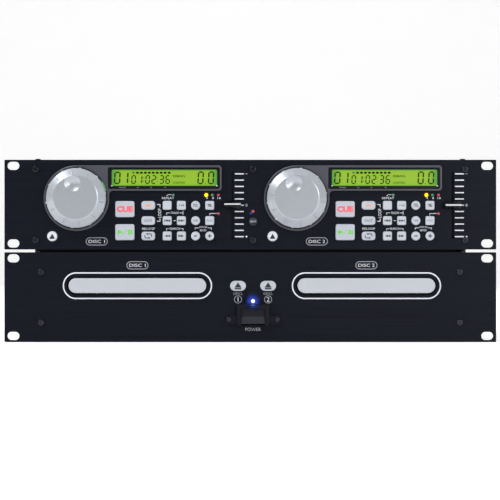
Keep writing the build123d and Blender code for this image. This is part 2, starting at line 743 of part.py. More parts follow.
# ================================================================ jog wheel and fader
def jog_wheel(middle):
    """A bevelled wheel with a finger dimple, hollow behind, on its hub and shaft."""
    floor, lid = JOG_GAP, JOG_H - JOG_TOP_T
    inner_r = JOG_R - JOG_WALL
    shoulder = inner_r - (lid - JOG_RIM_H) * (JOG_R - JOG_TOP_R) / (JOG_H - JOG_RIM_H)
    profile = Plane.XZ * make_face(Polyline(
        (0, JOG_H), (JOG_TOP_R, JOG_H), (JOG_R, JOG_RIM_H), (JOG_R, floor), (inner_r, floor),
        (inner_r, JOG_RIM_H), (shoulder, lid), (JOG_HUB_R, lid), (JOG_HUB_R, floor),
        (SHAFT_R, floor), (SHAFT_R, -SHAFT_END), (0, -SHAFT_END), close=True))
    wheel = revolve(profile, Axis.Z)
    boss_low = JOG_H - DIMPLE_DEPTH - DIMPLE_WALL
    boss = Pos(DIMPLE_X, DIMPLE_Z, (boss_low + lid) / 2) * Cylinder(DIMPLE_R, lid - boss_low + SHEET)
    bump = Pos(0, 0, (floor + JOG_RIM_H) / 2) * Cylinder(JOG_BUMP_R, JOG_RIM_H - floor)
    step = 360 / JOG_BUMPS
    bumps = [
        Rot(0, 0, JOG_BUMP_START + step * index) * Pos(JOG_R - JOG_BUMP_R / 2, 0) * bump
        for index in range(JOG_BUMPS)
    ]
    ball_r = (DIMPLE_R ** 2 + DIMPLE_DEPTH ** 2) / (2 * DIMPLE_DEPTH)
    ball = Pos(DIMPLE_X, DIMPLE_Z, JOG_H - DIMPLE_DEPTH + ball_r) * Sphere(ball_r)
    wheel = wheel + boss + bumps - ball
    return Pos(middle + JOG_X, 0, CONTROL_MID + JOG_Z) * FACE_FRONT * wheel


def encoder(middle):
    """The rotary encoder that carries a jog wheel's shaft in its bush."""
    x, z, half = middle + JOG_X, CONTROL_MID + JOG_Z, ENCODER_W / 2
    near = PANEL_T + SHEET
    body = bar(x - half, x + half, near, BOARD_SET_BACK, z - half, z + half)
    bush = rod(x, z, BUSH_R, 0, near)
    return body + bush - rod(x, z, SHAFT_R + SHAFT_GAP, -PAST, SHAFT_END + SHAFT_END_GAP)


def pitch_fader(middle):
    """A fader cap with finger dips above and below its middle, on the blade of its carriage."""
    x, z = middle + FADER_X, CONTROL_MID + FADER_Z
    half_w, half_h = FADER_CAP_W / 2, FADER_CAP_H / 2
    waist, proud, foot = FADER_CAP_WAIST, FADER_CAP_PROUD, FADER_CAP_GAP
    side = make_face(Polyline(
        (-foot, -half_h), (-foot, half_h), (-proud + 3 * waist, half_h - waist), (-proud, 2 * waist),
        (-proud, -2 * waist), (-proud + 3 * waist, -half_h + waist), close=True))
    cap = Pos(x - half_w, 0, z) * extrude(Plane.YZ * side, amount=FADER_CAP_W)
    half_t, half_b = FADER_BLADE_T / 2, FADER_BLADE_H / 2
    return cap + bar(x - half_t, x + half_t, -foot, FADER_BLADE_END, z - half_b, z + half_b)


def fader_track(middle):
    """The slide resistor behind the panel that the fader's blade runs in."""
    x, z = middle + FADER_X, CONTROL_MID + FADER_Z
    half_w, half_l = FADER_BODY_W / 2, FADER_BODY_L / 2
    near = BOARD_SET_BACK - FADER_BODY_D
    body = bar(x - half_w, x + half_w, near, BOARD_SET_BACK, z - half_l, z + half_l)
    half_s, half_d = FADER_SLOT_W / 2, FADER_SLOT_L / 2
    slot_end = FADER_BLADE_END + STOP_GAP
    return body - bar(x - half_s, x + half_s, near - PAST, slot_end, z - half_d, z + half_d)


# ================================================================ electronics
def lcd_module(middle):
    """A display module that stands on the board and reaches into the panel's cut-out."""
    x, z = middle + WINDOW_X, CONTROL_MID + WINDOW_Z
    near = -BEZEL_PROUD + WINDOW_RECESS + WINDOW_T + LCD_GAP
    return bar(x - LCD_HALF_W, x + LCD_HALF_W, near, BOARD_SET_BACK, z - LCD_HALF_H, z + LCD_HALF_H)


def control_board():
    """The board behind the controller's faceplate, with everything soldered to its front."""
    half = CASE_W / 2 - CONTROL_BOARD_SIDE_GAP
    low, high = CONTROL_BASE + CONTROL_BOARD_LOW_GAP, CONTROL_TOP - CONTROL_BOARD_TOP_GAP
    pieces = [bar(-half, half, BOARD_SET_BACK, BOARD_SET_BACK + BOARD_T, low, high)]
    for number, middle in DECKS.items():
        pieces += [push_switch(place[0], place[1]) for _, place in deck_keys(number)]
        pieces += [lamp(x, z) for x, z in deck_lamps(number)]
        pieces += [lcd_module(middle), encoder(middle), fader_track(middle)]
    pieces += [lamp(x, z) for x, z in CENTRE_LAMPS]
    pieces.append(push_switch(RELAY_KEY[0], RELAY_KEY[1]))
    return pieces


def transformer():
    """The mains transformer: its core and the winding that stands out at both ends."""
    low, high = DRIVE_BASE + SHEET, DRIVE_BASE + SHEET + SUPPLY_H
    half_w, half_d = SUPPLY_W / 2, SUPPLY_D / 2
    coil_w, coil_d = half_w - COIL_OVER, half_d + COIL_OVER
    core = bar(SUPPLY_X - half_w, SUPPLY_X + half_w, SUPPLY_Y - half_d, SUPPLY_Y + half_d, low, high)
    return core + bar(SUPPLY_X - coil_w, SUPPLY_X + coil_w, SUPPLY_Y - coil_d, SUPPLY_Y + coil_d,
                      low + COIL_OVER, high - COIL_OVER)


FRONT_BOARD_LOW = DRIVE_MID + POWER_LED_Z - FRONT_BOARD_MARGIN


def drive_boards():
    """The drive unit's front board, its main board with capacitors and its mains transformer."""
    half = FRONT_BOARD_W / 2
    pieces = [bar(CENTRE_X - half, CENTRE_X + half, BOARD_SET_BACK, BOARD_SET_BACK + BOARD_T,
                  FRONT_BOARD_LOW, FRONT_BOARD_LOW + FRONT_BOARD_H)]
    pieces += [push_switch(place[0], place[1]) for place in OPEN_KEYS.values()]
    pieces.append(lamp(*POWER_LAMP))
    board_low = DRIVE_BASE + SHEET + MAIN_BOARD_H
    board_top = board_low + BOARD_T
    near, far = MAIN_BOARD_NEAR, MAIN_BOARD_FAR
    pieces.append(bar(-MAIN_BOARD_HALF, MAIN_BOARD_HALF, near, far, board_low, board_top))
    capacitor_y = near + CAPACITOR_SET_BACK
    pieces += [post(x, capacitor_y, radius, board_top, board_top + CAPACITOR_H) for x, radius in CAPACITORS]
    return pieces + [transformer()]


# ================================================================ disc tray
TRAY_TOP = DRIVE_MID + TRAY_Z + TRAY_H / 2
TRAY_LOW = DRIVE_MID + TRAY_Z - TRAY_H / 2
FRONT_BACK = FRONT_T - FRONT_PROUD
DISC_Y = FRONT_BACK + DISC_MARGIN + DISC_R


def disc_tray(x):
    """A disc tray: its pill-shaped front, the disc wells, the pickup slot and side tongues."""
    middle = DRIVE_MID + TRAY_Z
    front = slab(Pos(x, middle) * SlotOverall(FRONT_W, FRONT_H), -FRONT_PROUD, FRONT_BACK)
    front = fillet(front_edges(front), FRONT_EDGE)
    half, end = TRAY_W / 2, FRONT_BACK + TRAY_L
    body = bar(x - half, x + half, FRONT_BACK, end, TRAY_LOW, TRAY_TOP)
    tongue = half + TONGUE_W
    tongues = bar(x - tongue, x + tongue, FRONT_BACK, end, middle - TONGUE_H / 2, middle + TONGUE_H / 2)
    seat = TRAY_TOP - DISC_DEPTH
    wells = [
        post(x, DISC_Y, DISC_R, seat, TRAY_TOP + PAST),
        post(x, DISC_Y, SMALL_DISC_R, seat - SMALL_DISC_DEPTH, TRAY_TOP + PAST),
    ]
    slot_mid = DISC_Y - PICKUP_SLOT_R + PICKUP_SLOT_L / 2
    slot = Pos(x, slot_mid, middle) * Box(PICKUP_SLOT_W, PICKUP_SLOT_L, 2 * TRAY_H)
    slot = fillet(slot.edges().filter_by(Axis.Z), PICKUP_SLOT_W / 4)
    return union([front, body + tongues]) - wells - slot


# ================================================================ disc mechanisms
RAIL_NEAR = RAIL_SET_BACK
RAIL_FAR = RAIL_SET_BACK + RAIL_L
RAIL_TOP = TRAY_TOP + BRIDGE_RISE
RAIL_OUTER = TRAY_W / 2 + RAIL_GAP + TONGUE_W + RAIL_WALL
DECK_TOP = TRAY_LOW - DECK_PLATE_DROP
DECK_LOW = DECK_TOP - DECK_PLATE_T


def loader_frame(x):
    """The frame of one mechanism: its deck plate, a grooved rail on each side and four legs."""
    lip = TRAY_W / 2 + RAIL_GAP
    groove = lip + TONGUE_W
    near, far = RAIL_NEAR - PAST, RAIL_FAR + PAST
    half_groove = TONGUE_H / 2 + RAIL_GAP
    tongue_z = DRIVE_MID + TRAY_Z
    frame = bar(x - RAIL_OUTER, x + RAIL_OUTER, RAIL_NEAR, RAIL_FAR, DECK_LOW, RAIL_TOP)
    frame -= bar(x - lip, x + lip, near, far, DECK_TOP, RAIL_TOP + PAST)
    frame -= bar(x - groove, x + groove, near, far, tongue_z - half_groove, tongue_z + half_groove)
    leg = RAIL_OUTER - POST_INSET
    legs = [
        post(x + dx, y, POST_R, DRIVE_BASE + SHEET, DECK_LOW)
        for dx in (-leg, leg) for y in (RAIL_NEAR + POST_INSET, RAIL_FAR - POST_INSET)
    ]
    return union([frame] + legs)


def spindle(x):
    """The disc motor with its turntable and centring cone."""
    hub_top = TRAY_LOW - TURNTABLE_GAP
    table_top = hub_top - CONE_H
    table_low = table_top - TURNTABLE_H
    motor = post(x, DISC_Y, MOTOR_R, DECK_TOP, table_low - SPINDLE_NECK)
    motor += post(x, DISC_Y, SHAFT_R, table_low - SPINDLE_NECK, table_low)
    motor += post(x, DISC_Y, TURNTABLE_R, table_low, table_top)
    return motor + Pos(x, DISC_Y, hub_top - CONE_H / 2) * Cone(CONE_R, CONE_R - CONE_H / 2, CONE_H)


def pickup(x):
    """The pickup sled with its lens, and the two guide rods that it slides on."""
    guide_x, guide_z = SLED_W / 2 + GUIDE_R, DECK_TOP + GUIDE_BLOCK / 2
    near = DISC_Y + TURNTABLE_R / 2
    far = near + GUIDE_L
    sled_y = DISC_Y + TURNTABLE_R + SLED_PLACE
    sled_low = guide_z - GUIDE_R / 2
    sled_top = sled_low + SLED_H
    sled = bar(x - guide_x, x + guide_x, sled_y - SLED_L / 2, sled_y + SLED_L / 2, sled_low, sled_top)
    guides = []
    for gx in (x - guide_x, x + guide_x):
        left, right = gx - GUIDE_BLOCK / 2, gx + GUIDE_BLOCK / 2
        blocks = [
            bar(left, right, y, y + GUIDE_BLOCK, DECK_TOP, DECK_TOP + GUIDE_BLOCK)
            for y in (near, far - GUIDE_BLOCK)
        ]
        guides.append(rod(gx, guide_z, GUIDE_R, near, far) + blocks)
        sled -= rod(gx, guide_z, GUIDE_R + SHAFT_GAP, near, far)
    return [*guides, sled + post(x, sled_y - SLED_L / 4, LENS_R, sled_top, sled_top + LENS_H)]


def loading_drive(x):
    """The loading motor and the gear that it turns."""
    load_x, motor_y, motor_top = x - LOAD_X, RAIL_NEAR + LOAD_SET_BACK, DECK_TOP + LOAD_MOTOR_H
    gear_y = motor_y + LOAD_MOTOR_R + LOAD_GEAR_R + LOAD_GEAR_GAP
    motor = post(load_x, motor_y, LOAD_MOTOR_R, DECK_TOP, motor_top)
    motor += post(load_x, motor_y, LOAD_PINION_R, motor_top, motor_top + LOAD_PINION_H)
    gear = post(load_x, gear_y, SHAFT_R, DECK_TOP, motor_top)
    return [motor, gear + post(load_x, gear_y, LOAD_GEAR_R, motor_top, motor_top + LOAD_GEAR_T)]


def disc_loader(x):
    """The mechanism of one tray, with the bridge across its rails that carries the disc clamp."""
    bridge = bar(x - RAIL_OUTER, x + RAIL_OUTER, DISC_Y - BRIDGE_L / 2, DISC_Y + BRIDGE_L / 2,
                 RAIL_TOP, RAIL_TOP + BRIDGE_T)
    bridge += post(x, DISC_Y, CLAMP_R, TRAY_TOP + CLAMP_GAP, RAIL_TOP)
    return [loader_frame(x), spindle(x), *pickup(x), *loading_drive(x), bridge]


# ================================================================ power switch
def rocker():
    """The rocker, with its upper half pressed in, on the two pins that it tilts about."""
    half, reach = ROCKER_HALF, ROCKER_REACH
    valley = reach - half * tan(radians(ROCKER_TILT))
    side = make_face(Polyline(
        (-reach, half), (-valley, 0), (-reach, -half), (ROCKER_BACK, -ROCKER_BACK_HALF),
        (ROCKER_BACK, ROCKER_BACK_HALF), close=True))
    body = extrude(Plane.YZ * side, amount=ROCKER_W / 2, both=True)
    body = Rot(-ROCKER_TILT, 0, 0) * body
    pin_l = ROCKER_W + 2 * (ROCKER_GAP + PIVOT_REACH)
    body += Rot(0, 90, 0) * Cylinder(PIVOT_R, pin_l)
    return Pos(CENTRE_X, ROCKER_PIVOT_Y, DRIVE_MID + ROCKER_Z) * body


def switch_guard():
    """The moulded guard round the rocker, with a screw ear on each side."""
    middle = DRIVE_MID + (GUARD_TOP + GUARD_BOTTOM) / 2
    body = slab(rounded(CENTRE_X, middle, GUARD_W, GUARD_TOP - GUARD_BOTTOM, GUARD_CORNER), -GUARD_PROUD, 0)
    body = fillet(front_edges(body), GUARD_EDGE)
    ear_middle = DRIVE_MID + (EAR_TOP + EAR_BOTTOM) / 2
    ears = slab(rounded(CENTRE_X, ear_middle, EAR_W, EAR_TOP - EAR_BOTTOM, GUARD_CORNER), -EAR_T, 0)
    window = Pos(CENTRE_X, DRIVE_MID + ROCKER_Z) * Rectangle(ROCKER_W + 2 * ROCKER_GAP, ROCKER_WINDOW_H)
    holes = [rod(x, z, SCREW_HOLE_R, -EAR_T - PAST, PAST) for x, z in EAR_SCREWS]
    return body + ears - slab(window, -GUARD_PROUD - PAST, PAST) - holes


def switch_body():
    """The switch housing behind the guard, open at the front for the rocker."""
    middle = DRIVE_MID + ROCKER_Z
    body = slab(Pos(CENTRE_X, middle) * Rectangle(SWITCH_W_OUT, SWITCH_H_OUT), 0, SWITCH_DEPTH)
    well = Pos(CENTRE_X, middle) * Rectangle(ROCKER_W + 2 * ROCKER_GAP, ROCKER_WINDOW_H)
    body -= slab(well, -PAST, SWITCH_WELL)
    pin = Rot(0, 90, 0) * Cylinder(PIVOT_R + PIVOT_GAP, SWITCH_W_OUT + PAST)
    return body - Pos(CENTRE_X, ROCKER_PIVOT_Y, middle) * pin


# ================================================================ sockets on the backs
def drive_sockets():
    """The sockets on the drive unit's back, as form and place."""
    middle = DRIVE_MID + PHONO_Z
    for x in PHONO_X:
        yield "phono", x, middle - PHONO_PITCH / 2
        yield "phono", x, middle + PHONO_PITCH / 2
        yield "phono", x + COAX_DX, middle
        yield "link", x + LINK_DX, middle
    yield "inlet", INLET_X, DRIVE_MID + INLET_Z


def control_sockets():
    """The sockets on the controller's back, as form and place."""
    for side in (-1, 1):
        yield "link", side * LINK_CONTROL_X, CONTROL_MID + LINK_CONTROL_Z
        yield "start", side * START_X, CONTROL_MID + LINK_CONTROL_Z


NOSE_R = {"phono": PHONO_BASE_R, "link": LINK_NOSE_R, "start": START_NOSE_R}


def socket_hole(form, x, z, back):
    """The hole in a back wall that a socket's nose comes out of."""
    near, far = back - PAST, back + SHEET + PAST
    if form == "inlet":
        wide, high = INLET_BODY_W + 2 * NOSE_GAP, INLET_BODY_H + 2 * NOSE_GAP
        screws = [rod(x + side * INLET_SCREW_X, z, SCREW_HOLE_R, near, far) for side in (-1, 1)]
        return union([slab(Pos(x, z) * Rectangle(wide, high), near, far)] + screws)
    return rod(x, z, NOSE_R[form] + NOSE_GAP, near, far)


def square_body(x, z, width, near, far):
    """A square block centred on a place of the back wall."""
    return slab(Pos(x, z) * Rectangle(width, width), near, far)


def phono_socket(x, z, back):
    """A phono socket: its body inside, its collar and its contact barrel outside."""
    outside = back + SHEET
    body = square_body(x, z, PHONO_BODY, back - PHONO_BODY_D, back)
    body += rod(x, z, PHONO_BASE_R, back, outside + PHONO_BASE_L)
    body += rod(x, z, PHONO_R, outside + PHONO_BASE_L, outside + PHONO_L)
    return body - rod(x, z, PHONO_PIN_R, outside, outside + PHONO_L + PAST)


def link_socket(x, z, back):
    """A round multi-way socket for the cable that joins the two units."""
    mouth = back + SHEET + LINK_NOSE_L
    body = square_body(x, z, LINK_BODY, back - LINK_BODY_D, back)
    body += rod(x, z, LINK_NOSE_R, back, mouth)
    return body - rod(x, z, LINK_BORE_R, mouth - LINK_BORE_L, mouth + PAST)


def start_socket(x, z, back):
    """A small jack socket for a remote start lead."""
    mouth = back + SHEET + START_NOSE_L
    body = square_body(x, z, START_BODY_W, back - START_BODY_D, back)
    body += rod(x, z, START_NOSE_R, back, mouth)
    return body - rod(x, z, START_BORE_R, mouth - START_BORE_L, mouth + PAST)


def mains_inlet(x, z, back):
    """A three-blade mains inlet with its screw flange outside the back wall."""
    outside = back + SHEET
    mouth = outside + INLET_FLANGE_T
    body = slab(rounded(x, z, INLET_FLANGE_W, INLET_FLANGE_H, INLET_FLANGE_H / 4), outside, mouth)
    body += slab(Pos(x, z) * Rectangle(INLET_BODY_W, INLET_BODY_H), outside - INLET_BODY_D, outside)
    root = mouth - INLET_WELL_D
    body -= slab(Pos(x, z) * Rectangle(INLET_WELL_W, INLET_WELL_H), root, mouth + PAST)
    screw_xs = (x - INLET_SCREW_X, x + INLET_SCREW_X)
    body -= [rod(screw_x, z, SCREW_HOLE_R, outside - PAST, mouth + PAST) for screw_x in screw_xs]
    blades = [(x - BLADE_X, z + BLADE_Z), (x + BLADE_X, z + BLADE_Z), (x, z + EARTH_Z)]
    for bx, bz in blades:
        body += slab(Pos(bx, bz) * Rectangle(BLADE_W, BLADE_H), root, root + BLADE_L)
    return body


SOCKETS = {"phono": phono_socket, "link": link_socket, "start": start_socket, "inlet": mains_inlet}


# ================================================================ feet
def foot(x_half, y, low, high):
    """A rubber strip with round ends across the case."""
    outline = SlotOverall(2 * x_half, FOOT_D)
    return Pos(0, y, low) * extrude(outline, amount=high - low)


def feet(base, height, back):
    """The front and rear foot strips of one unit."""
    ys = (FOOT_SET_BACK + FOOT_D / 2, back - FOOT_REAR_MARGIN - FOOT_D / 2)
    return [foot(CASE_W / 2, y, base - height, base) for y in ys]


# ================================================================ fasteners
def panel_screws():
    """The screws that hold both faceplates and the switch guard."""
    screw = cross_screw(HEAD_R, HEAD_H, SHANK_L)
    ear_screw = cross_screw(SMALL_HEAD_R, SMALL_HEAD_H, SHANK_L)
    screws = [Pos(x, 0, z) * FACE_FRONT * screw for x, z in CONTROL_SCREWS + DRIVE_SCREWS]
    return screws + [Pos(x, -EAR_T, z) * FACE_FRONT * ear_screw for x, z in EAR_SCREWS]


def cover_screw_set(top, back):
    """The screws that hold one cover down."""
    screw = cross_screw(COVER_HEAD_R, COVER_HEAD_H, COVER_SHANK_L)
    return [Pos(x, y, top) * screw for x, y in cover_screws(back)]


def inlet_screws():
    """The two screws of the mains inlet."""
    screw = cross_screw(SMALL_HEAD_R, SMALL_HEAD_H, SHANK_L)
    seat, z = DRIVE_DEPTH + INLET_FLANGE_T, DRIVE_MID + INLET_Z
    return [Pos(INLET_X + side * INLET_SCREW_X, seat, z) * FACE_BACK * screw for side in (-1, 1)]


def board_studs():
    """The spacers that carry the boards behind the faceplates and over the drive unit's floor."""
    places = [(CENTRE_X, z) for z in MIDDLE_STUD_ZS]
    places += [(LEFT_STUD_X, LEFT_STUD_Z), (RIGHT_STUD_X, RIGHT_STUD_Z)]
    places += [(x, HIGH_STUD_Z) for x in (LEFT_STUD_X, RIGHT_STUD_X)]
    studs = [rod(x, CONTROL_MID + z, STUD_R, PANEL_T, BOARD_SET_BACK) for x, z in places]
    front_x, front_z = FRONT_BOARD_W / 2 - FRONT_STUD_INSET, FRONT_BOARD_LOW + FRONT_STUD_RISE
    studs += [rod(CENTRE_X + dx, front_z, STUD_R, PANEL_T, BOARD_SET_BACK) for dx in (-front_x, front_x)]
    low, main_x = DRIVE_BASE + SHEET, MAIN_BOARD_HALF - MAIN_STUD_INSET
    main_ys = (MAIN_BOARD_NEAR + MAIN_STUD_INSET, MAIN_BOARD_FAR - MAIN_STUD_INSET)
    return studs + [post(x, y, STUD_R, low, low + MAIN_BOARD_H) for x in (-main_x, main_x) for y in main_ys]


# ================================================================ the assembly
node("controller_faceplate", control_faceplate())
node("controller_chassis",
     *chassis(CONTROL_BASE, CONTROL_TOP, CONTROL_BACK, CONTROL_FRAME, CONTROL_SCREWS, control_sockets()))
node("controller_cover", cover(CONTROL_TOP, CONTROL_BACK, DECK_PITCH / 2, CONTROL_VENT_Y))
node("drive_faceplate", drive_faceplate())
node("drive_chassis",
     *chassis(DRIVE_BASE, DRIVE_TOP, DRIVE_BACK, DRIVE_FRAME, DRIVE_SCREWS, drive_sockets()))
node("drive_cover", cover(DRIVE_TOP, DRIVE_BACK, DRIVE_VENT_X, DRIVE_VENT_Y))
node("display_bezels", *[bezel(middle) for middle in DECKS.values()])
node("display_windows", *[window_pane(middle) for middle in DECKS.values()])
node("circuit_boards", *control_board(), *drive_boards())
node("disc_loaders", *[piece for x in TRAYS.values() for piece in disc_loader(x)])
node("power_switch_guard", switch_guard(), switch_body())
node("power_rocker", rocker())
node("rear_sockets",
     *[SOCKETS[form](x, z, DRIVE_BACK) for form, x, z in drive_sockets()],
     *[SOCKETS[form](x, z, CONTROL_BACK) for form, x, z in control_sockets()])
node("foot_strips", *feet(DRIVE_BASE, FOOT_H, DRIVE_BACK), *feet(CONTROL_BASE, STACK_FOOT_H, CONTROL_BACK))
node("screws", *panel_screws(), *cover_screw_set(CONTROL_TOP, CONTROL_BACK),
     *cover_screw_set(DRIVE_TOP, DRIVE_BACK), *inlet_screws(), *board_studs())
node("relay_key", key_cap(*RELAY_KEY))

for number, middle in DECKS.items():
    node(f"jog_wheel_{number}", jog_wheel(middle))
    node(f"pitch_fader_{number}", pitch_fader(middle))
    for name, place in deck_keys(number):
        node(name, key_cap(*place))
    node(f"disc_tray_{number}", disc_tray(TRAYS[number]))
    node(f"open_close_key_{number}", key_cap(*OPEN_KEYS[number]))

# The origin is at the middle of the base, half way from the jog wheels to the phono sockets.
FRONT_END = -JOG_H
BACK_END = DRIVE_DEPTH + PHONO_L
ORIGIN = Pos(0, -(FRONT_END + BACK_END) / 2, 0)

os.makedirs("parts", exist_ok=True)
for name, solids in NODES.items():
    export_step(ORIGIN * Compound(children=solids), f"parts/{name}.step")
print(len(NODES), "nodes, panel fronts at Y", -(FRONT_END + BACK_END) / 2)
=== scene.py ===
import json
from math import atan, cos, hypot, pi, radians, sin

import bpy
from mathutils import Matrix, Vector

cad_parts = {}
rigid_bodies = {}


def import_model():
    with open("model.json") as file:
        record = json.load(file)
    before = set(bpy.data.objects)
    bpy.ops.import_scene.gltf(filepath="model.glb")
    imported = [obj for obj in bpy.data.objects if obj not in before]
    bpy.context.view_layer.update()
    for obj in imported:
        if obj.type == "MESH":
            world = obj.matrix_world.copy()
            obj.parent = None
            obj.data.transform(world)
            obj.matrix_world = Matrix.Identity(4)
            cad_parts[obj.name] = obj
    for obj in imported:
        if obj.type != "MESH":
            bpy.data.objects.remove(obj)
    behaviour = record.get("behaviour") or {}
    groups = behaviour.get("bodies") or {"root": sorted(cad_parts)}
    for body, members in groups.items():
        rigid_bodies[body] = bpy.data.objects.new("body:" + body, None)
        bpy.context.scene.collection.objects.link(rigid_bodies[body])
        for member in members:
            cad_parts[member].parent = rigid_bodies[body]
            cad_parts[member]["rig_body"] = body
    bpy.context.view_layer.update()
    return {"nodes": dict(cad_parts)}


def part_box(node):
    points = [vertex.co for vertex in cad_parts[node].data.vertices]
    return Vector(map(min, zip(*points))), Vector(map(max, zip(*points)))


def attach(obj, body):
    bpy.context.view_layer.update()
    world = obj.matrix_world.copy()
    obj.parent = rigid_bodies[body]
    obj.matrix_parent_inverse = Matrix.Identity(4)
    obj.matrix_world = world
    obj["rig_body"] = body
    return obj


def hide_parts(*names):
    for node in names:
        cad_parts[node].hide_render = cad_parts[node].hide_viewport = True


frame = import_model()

# A twin disc player for a 19 inch rack: a controller that stands on its disc drive unit.
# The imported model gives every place; this script adds finishes, fine shapes, printing and light.
# Sizes are written in millimetres times MM.
MM = 0.001
DECKS = (1, 2)


# ---------- places read from the frame
def centre(name):
    """The middle of a CAD node's box."""
    low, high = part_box(name)
    return (low + high) / 2


def extent(name):
    """The size of a CAD node's box."""
    low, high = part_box(name)
    return high - low


PANEL_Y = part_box("controller_faceplate")[0].y
PANEL_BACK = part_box("controller_faceplate")[1].y
CONTROL = centre("controller_faceplate")
DRIVE = centre("drive_faceplate")
CAP_FLANGE = 0.9 * MM    # how far a key's flange stands out past its cap
JOG_DX, JOG_DZ = -64.1 * MM, 6.35 * MM
DECK_X = {number: centre(f"jog_wheel_{number}").x - JOG_DX for number in DECKS}
CENTRE_X = centre("relay_key").x
BOARD_FACE_Y = PANEL_Y + 11.9 * MM    # green laminate begins here
TRAY_FRONT_Y = PANEL_Y + 4.3 * MM     # silver paint ends here


# ---------- colours
def srgb(red, green, blue):
    """A colour of a screen, 0 to 255, as the linear values that a shader takes."""
    def line(value):
        part = value / 255
        return part / 12.92 if part <= 0.04045 else ((part + 0.055) / 1.055) ** 2.4
    return (line(red), line(green), line(blue), 1.0)


# ---------- materials
def add_node(tree, kind, inputs=None, **options):
    """A shader node of that kind, with its inputs set or linked."""
    made = tree.nodes.new(kind)
    for key, value in options.items():
        setattr(made, key, value)
    for key, value in (inputs or {}).items():
        if isinstance(value, bpy.types.NodeSocket):
            tree.links.new(value, made.inputs[key])
        else:
            made.inputs[key].default_value = value
    return made


class Finish:
    """A material whose colour, roughness and relief come from nodes in the object's own space."""

    def __init__(self, name, colour, roughness, **sockets):
        self.material = bpy.data.materials.new(name)
        self.material.use_nodes = True
        self.tree = self.material.node_tree
        self.shader = self.tree.nodes["Principled BSDF"]
        self.shader.inputs["Base Color"].default_value = colour
        self.shader.inputs["Roughness"].default_value = roughness
        for socket, value in sockets.items():
            self.shader.inputs[socket.replace("_", " ")].default_value = value
        self.place = self.node("ShaderNodeTexCoord").outputs["Object"]

    def node(self, kind, inputs=None, **options):
        """A node of this material."""
        return add_node(self.tree, kind, inputs, **options)

    def maths(self, operation, first, second=0.0):
        """One arithmetic step."""
        return self.node("ShaderNodeMath", {0: first, 1: second}, operation=operation).outputs[0]

    def noise(self, scale, stretch=(1, 1, 1), detail=4.0):
        """Noise, scaled per metre and stretched along the axes."""
        mapped = self.node("ShaderNodeMapping", {"Vector": self.place, "Scale": stretch})
        inputs = {"Vector": mapped.outputs[0], "Scale": scale, "Detail": detail}
        return self.node("ShaderNodeTexNoise", inputs).outputs["Fac"]

    def spread(self, value, low, high, start=0.3, end=0.7):
        """A value carried from the start-end range to the low-high range."""
        inputs = {"Value": value, "From Min": start, "From Max": end, "To Min": low, "To Max": high}
        return self.node("ShaderNodeMapRange", inputs).outputs[0]

    def mix(self, factor, first, second):
        """A blend of two colours."""
        return self.node("ShaderNodeMix", {0: factor, 6: first, 7: second}, data_type="RGBA").outputs[2]

    def axis(self, index):
        """One coordinate of the object's own space."""
        return self.node("ShaderNodeSeparateXYZ", {0: self.place}).outputs[index]

    def use(self, socket, value):
        """Feeds one of the shader's sockets."""
        self.tree.links.new(value, self.shader.inputs[socket])
        return self

    def shine(self, strength, colour=None):
        """Light that the surface gives off, in a colour set here or fed by nodes."""
        self.shader.inputs["Emission Strength"].default_value = strength
        if colour:
            self.shader.inputs["Emission Color"].default_value = colour
        return self

    def relief(self, height, strength, distance):
        """Fine relief from a height."""
        bump = self.node("ShaderNodeBump", {"Height": height, "Strength": strength, "Distance": distance})
        return self.use("Normal", bump.outputs[0])


def scaled(colour, factor):
    """A colour made lighter or darker."""
    return tuple(min(1.0, part * factor) for part in colour[:3]) + (1.0,)


def mottled(name, colour, roughness, grain, contrast, bump, **sockets):
    """A moulded or painted finish: slight patches of tone, uneven gloss and a fine grain."""
    finish = Finish(name, colour, roughness, **sockets)
    patches = finish.noise(18.0, detail=3.0)
    finish.use("Base Color", finish.mix(patches, scaled(colour, 1 - contrast), scaled(colour, 1 + contrast)))
    fine = finish.noise(grain, detail=2.0)
    finish.use("Roughness", finish.spread(fine, roughness - 0.06, roughness + 0.06))
    return finish.relief(fine, bump, 0.05 * MM)


def brushed(name, dark, light, roughness, **sockets):
    """Anodised aluminium brushed from side to side."""
    finish = Finish(name, dark, roughness, **sockets)
    broad = finish.noise(1.0, (5, 600, 900), 6.0)
    fine = finish.noise(1.0, (22, 3000, 5200), 3.0)
    grain = finish.maths("ADD", finish.maths("MULTIPLY", broad, 0.5), finish.maths("MULTIPLY", fine, 0.5))
    finish.use("Base Color", finish.mix(finish.spread(grain, 0.0, 1.0, 0.38, 0.62), dark, light))
    finish.use("Roughness", finish.spread(grain, roughness - 0.05, roughness + 0.07, 0.4, 0.6))
    return finish.relief(grain, 0.10, 0.02 * MM)


def lit(name, colour, strength):
    """A surface that glows in its own colour."""
    return mottled(name, colour, 0.3, 900.0, 0.03, 0.0).shine(strength, colour)


def print_ink(name, colour):
    """Screen-printed ink, slightly uneven in tone."""
    return mottled(name, colour, 0.5, 2500.0, 0.05, 0.03)


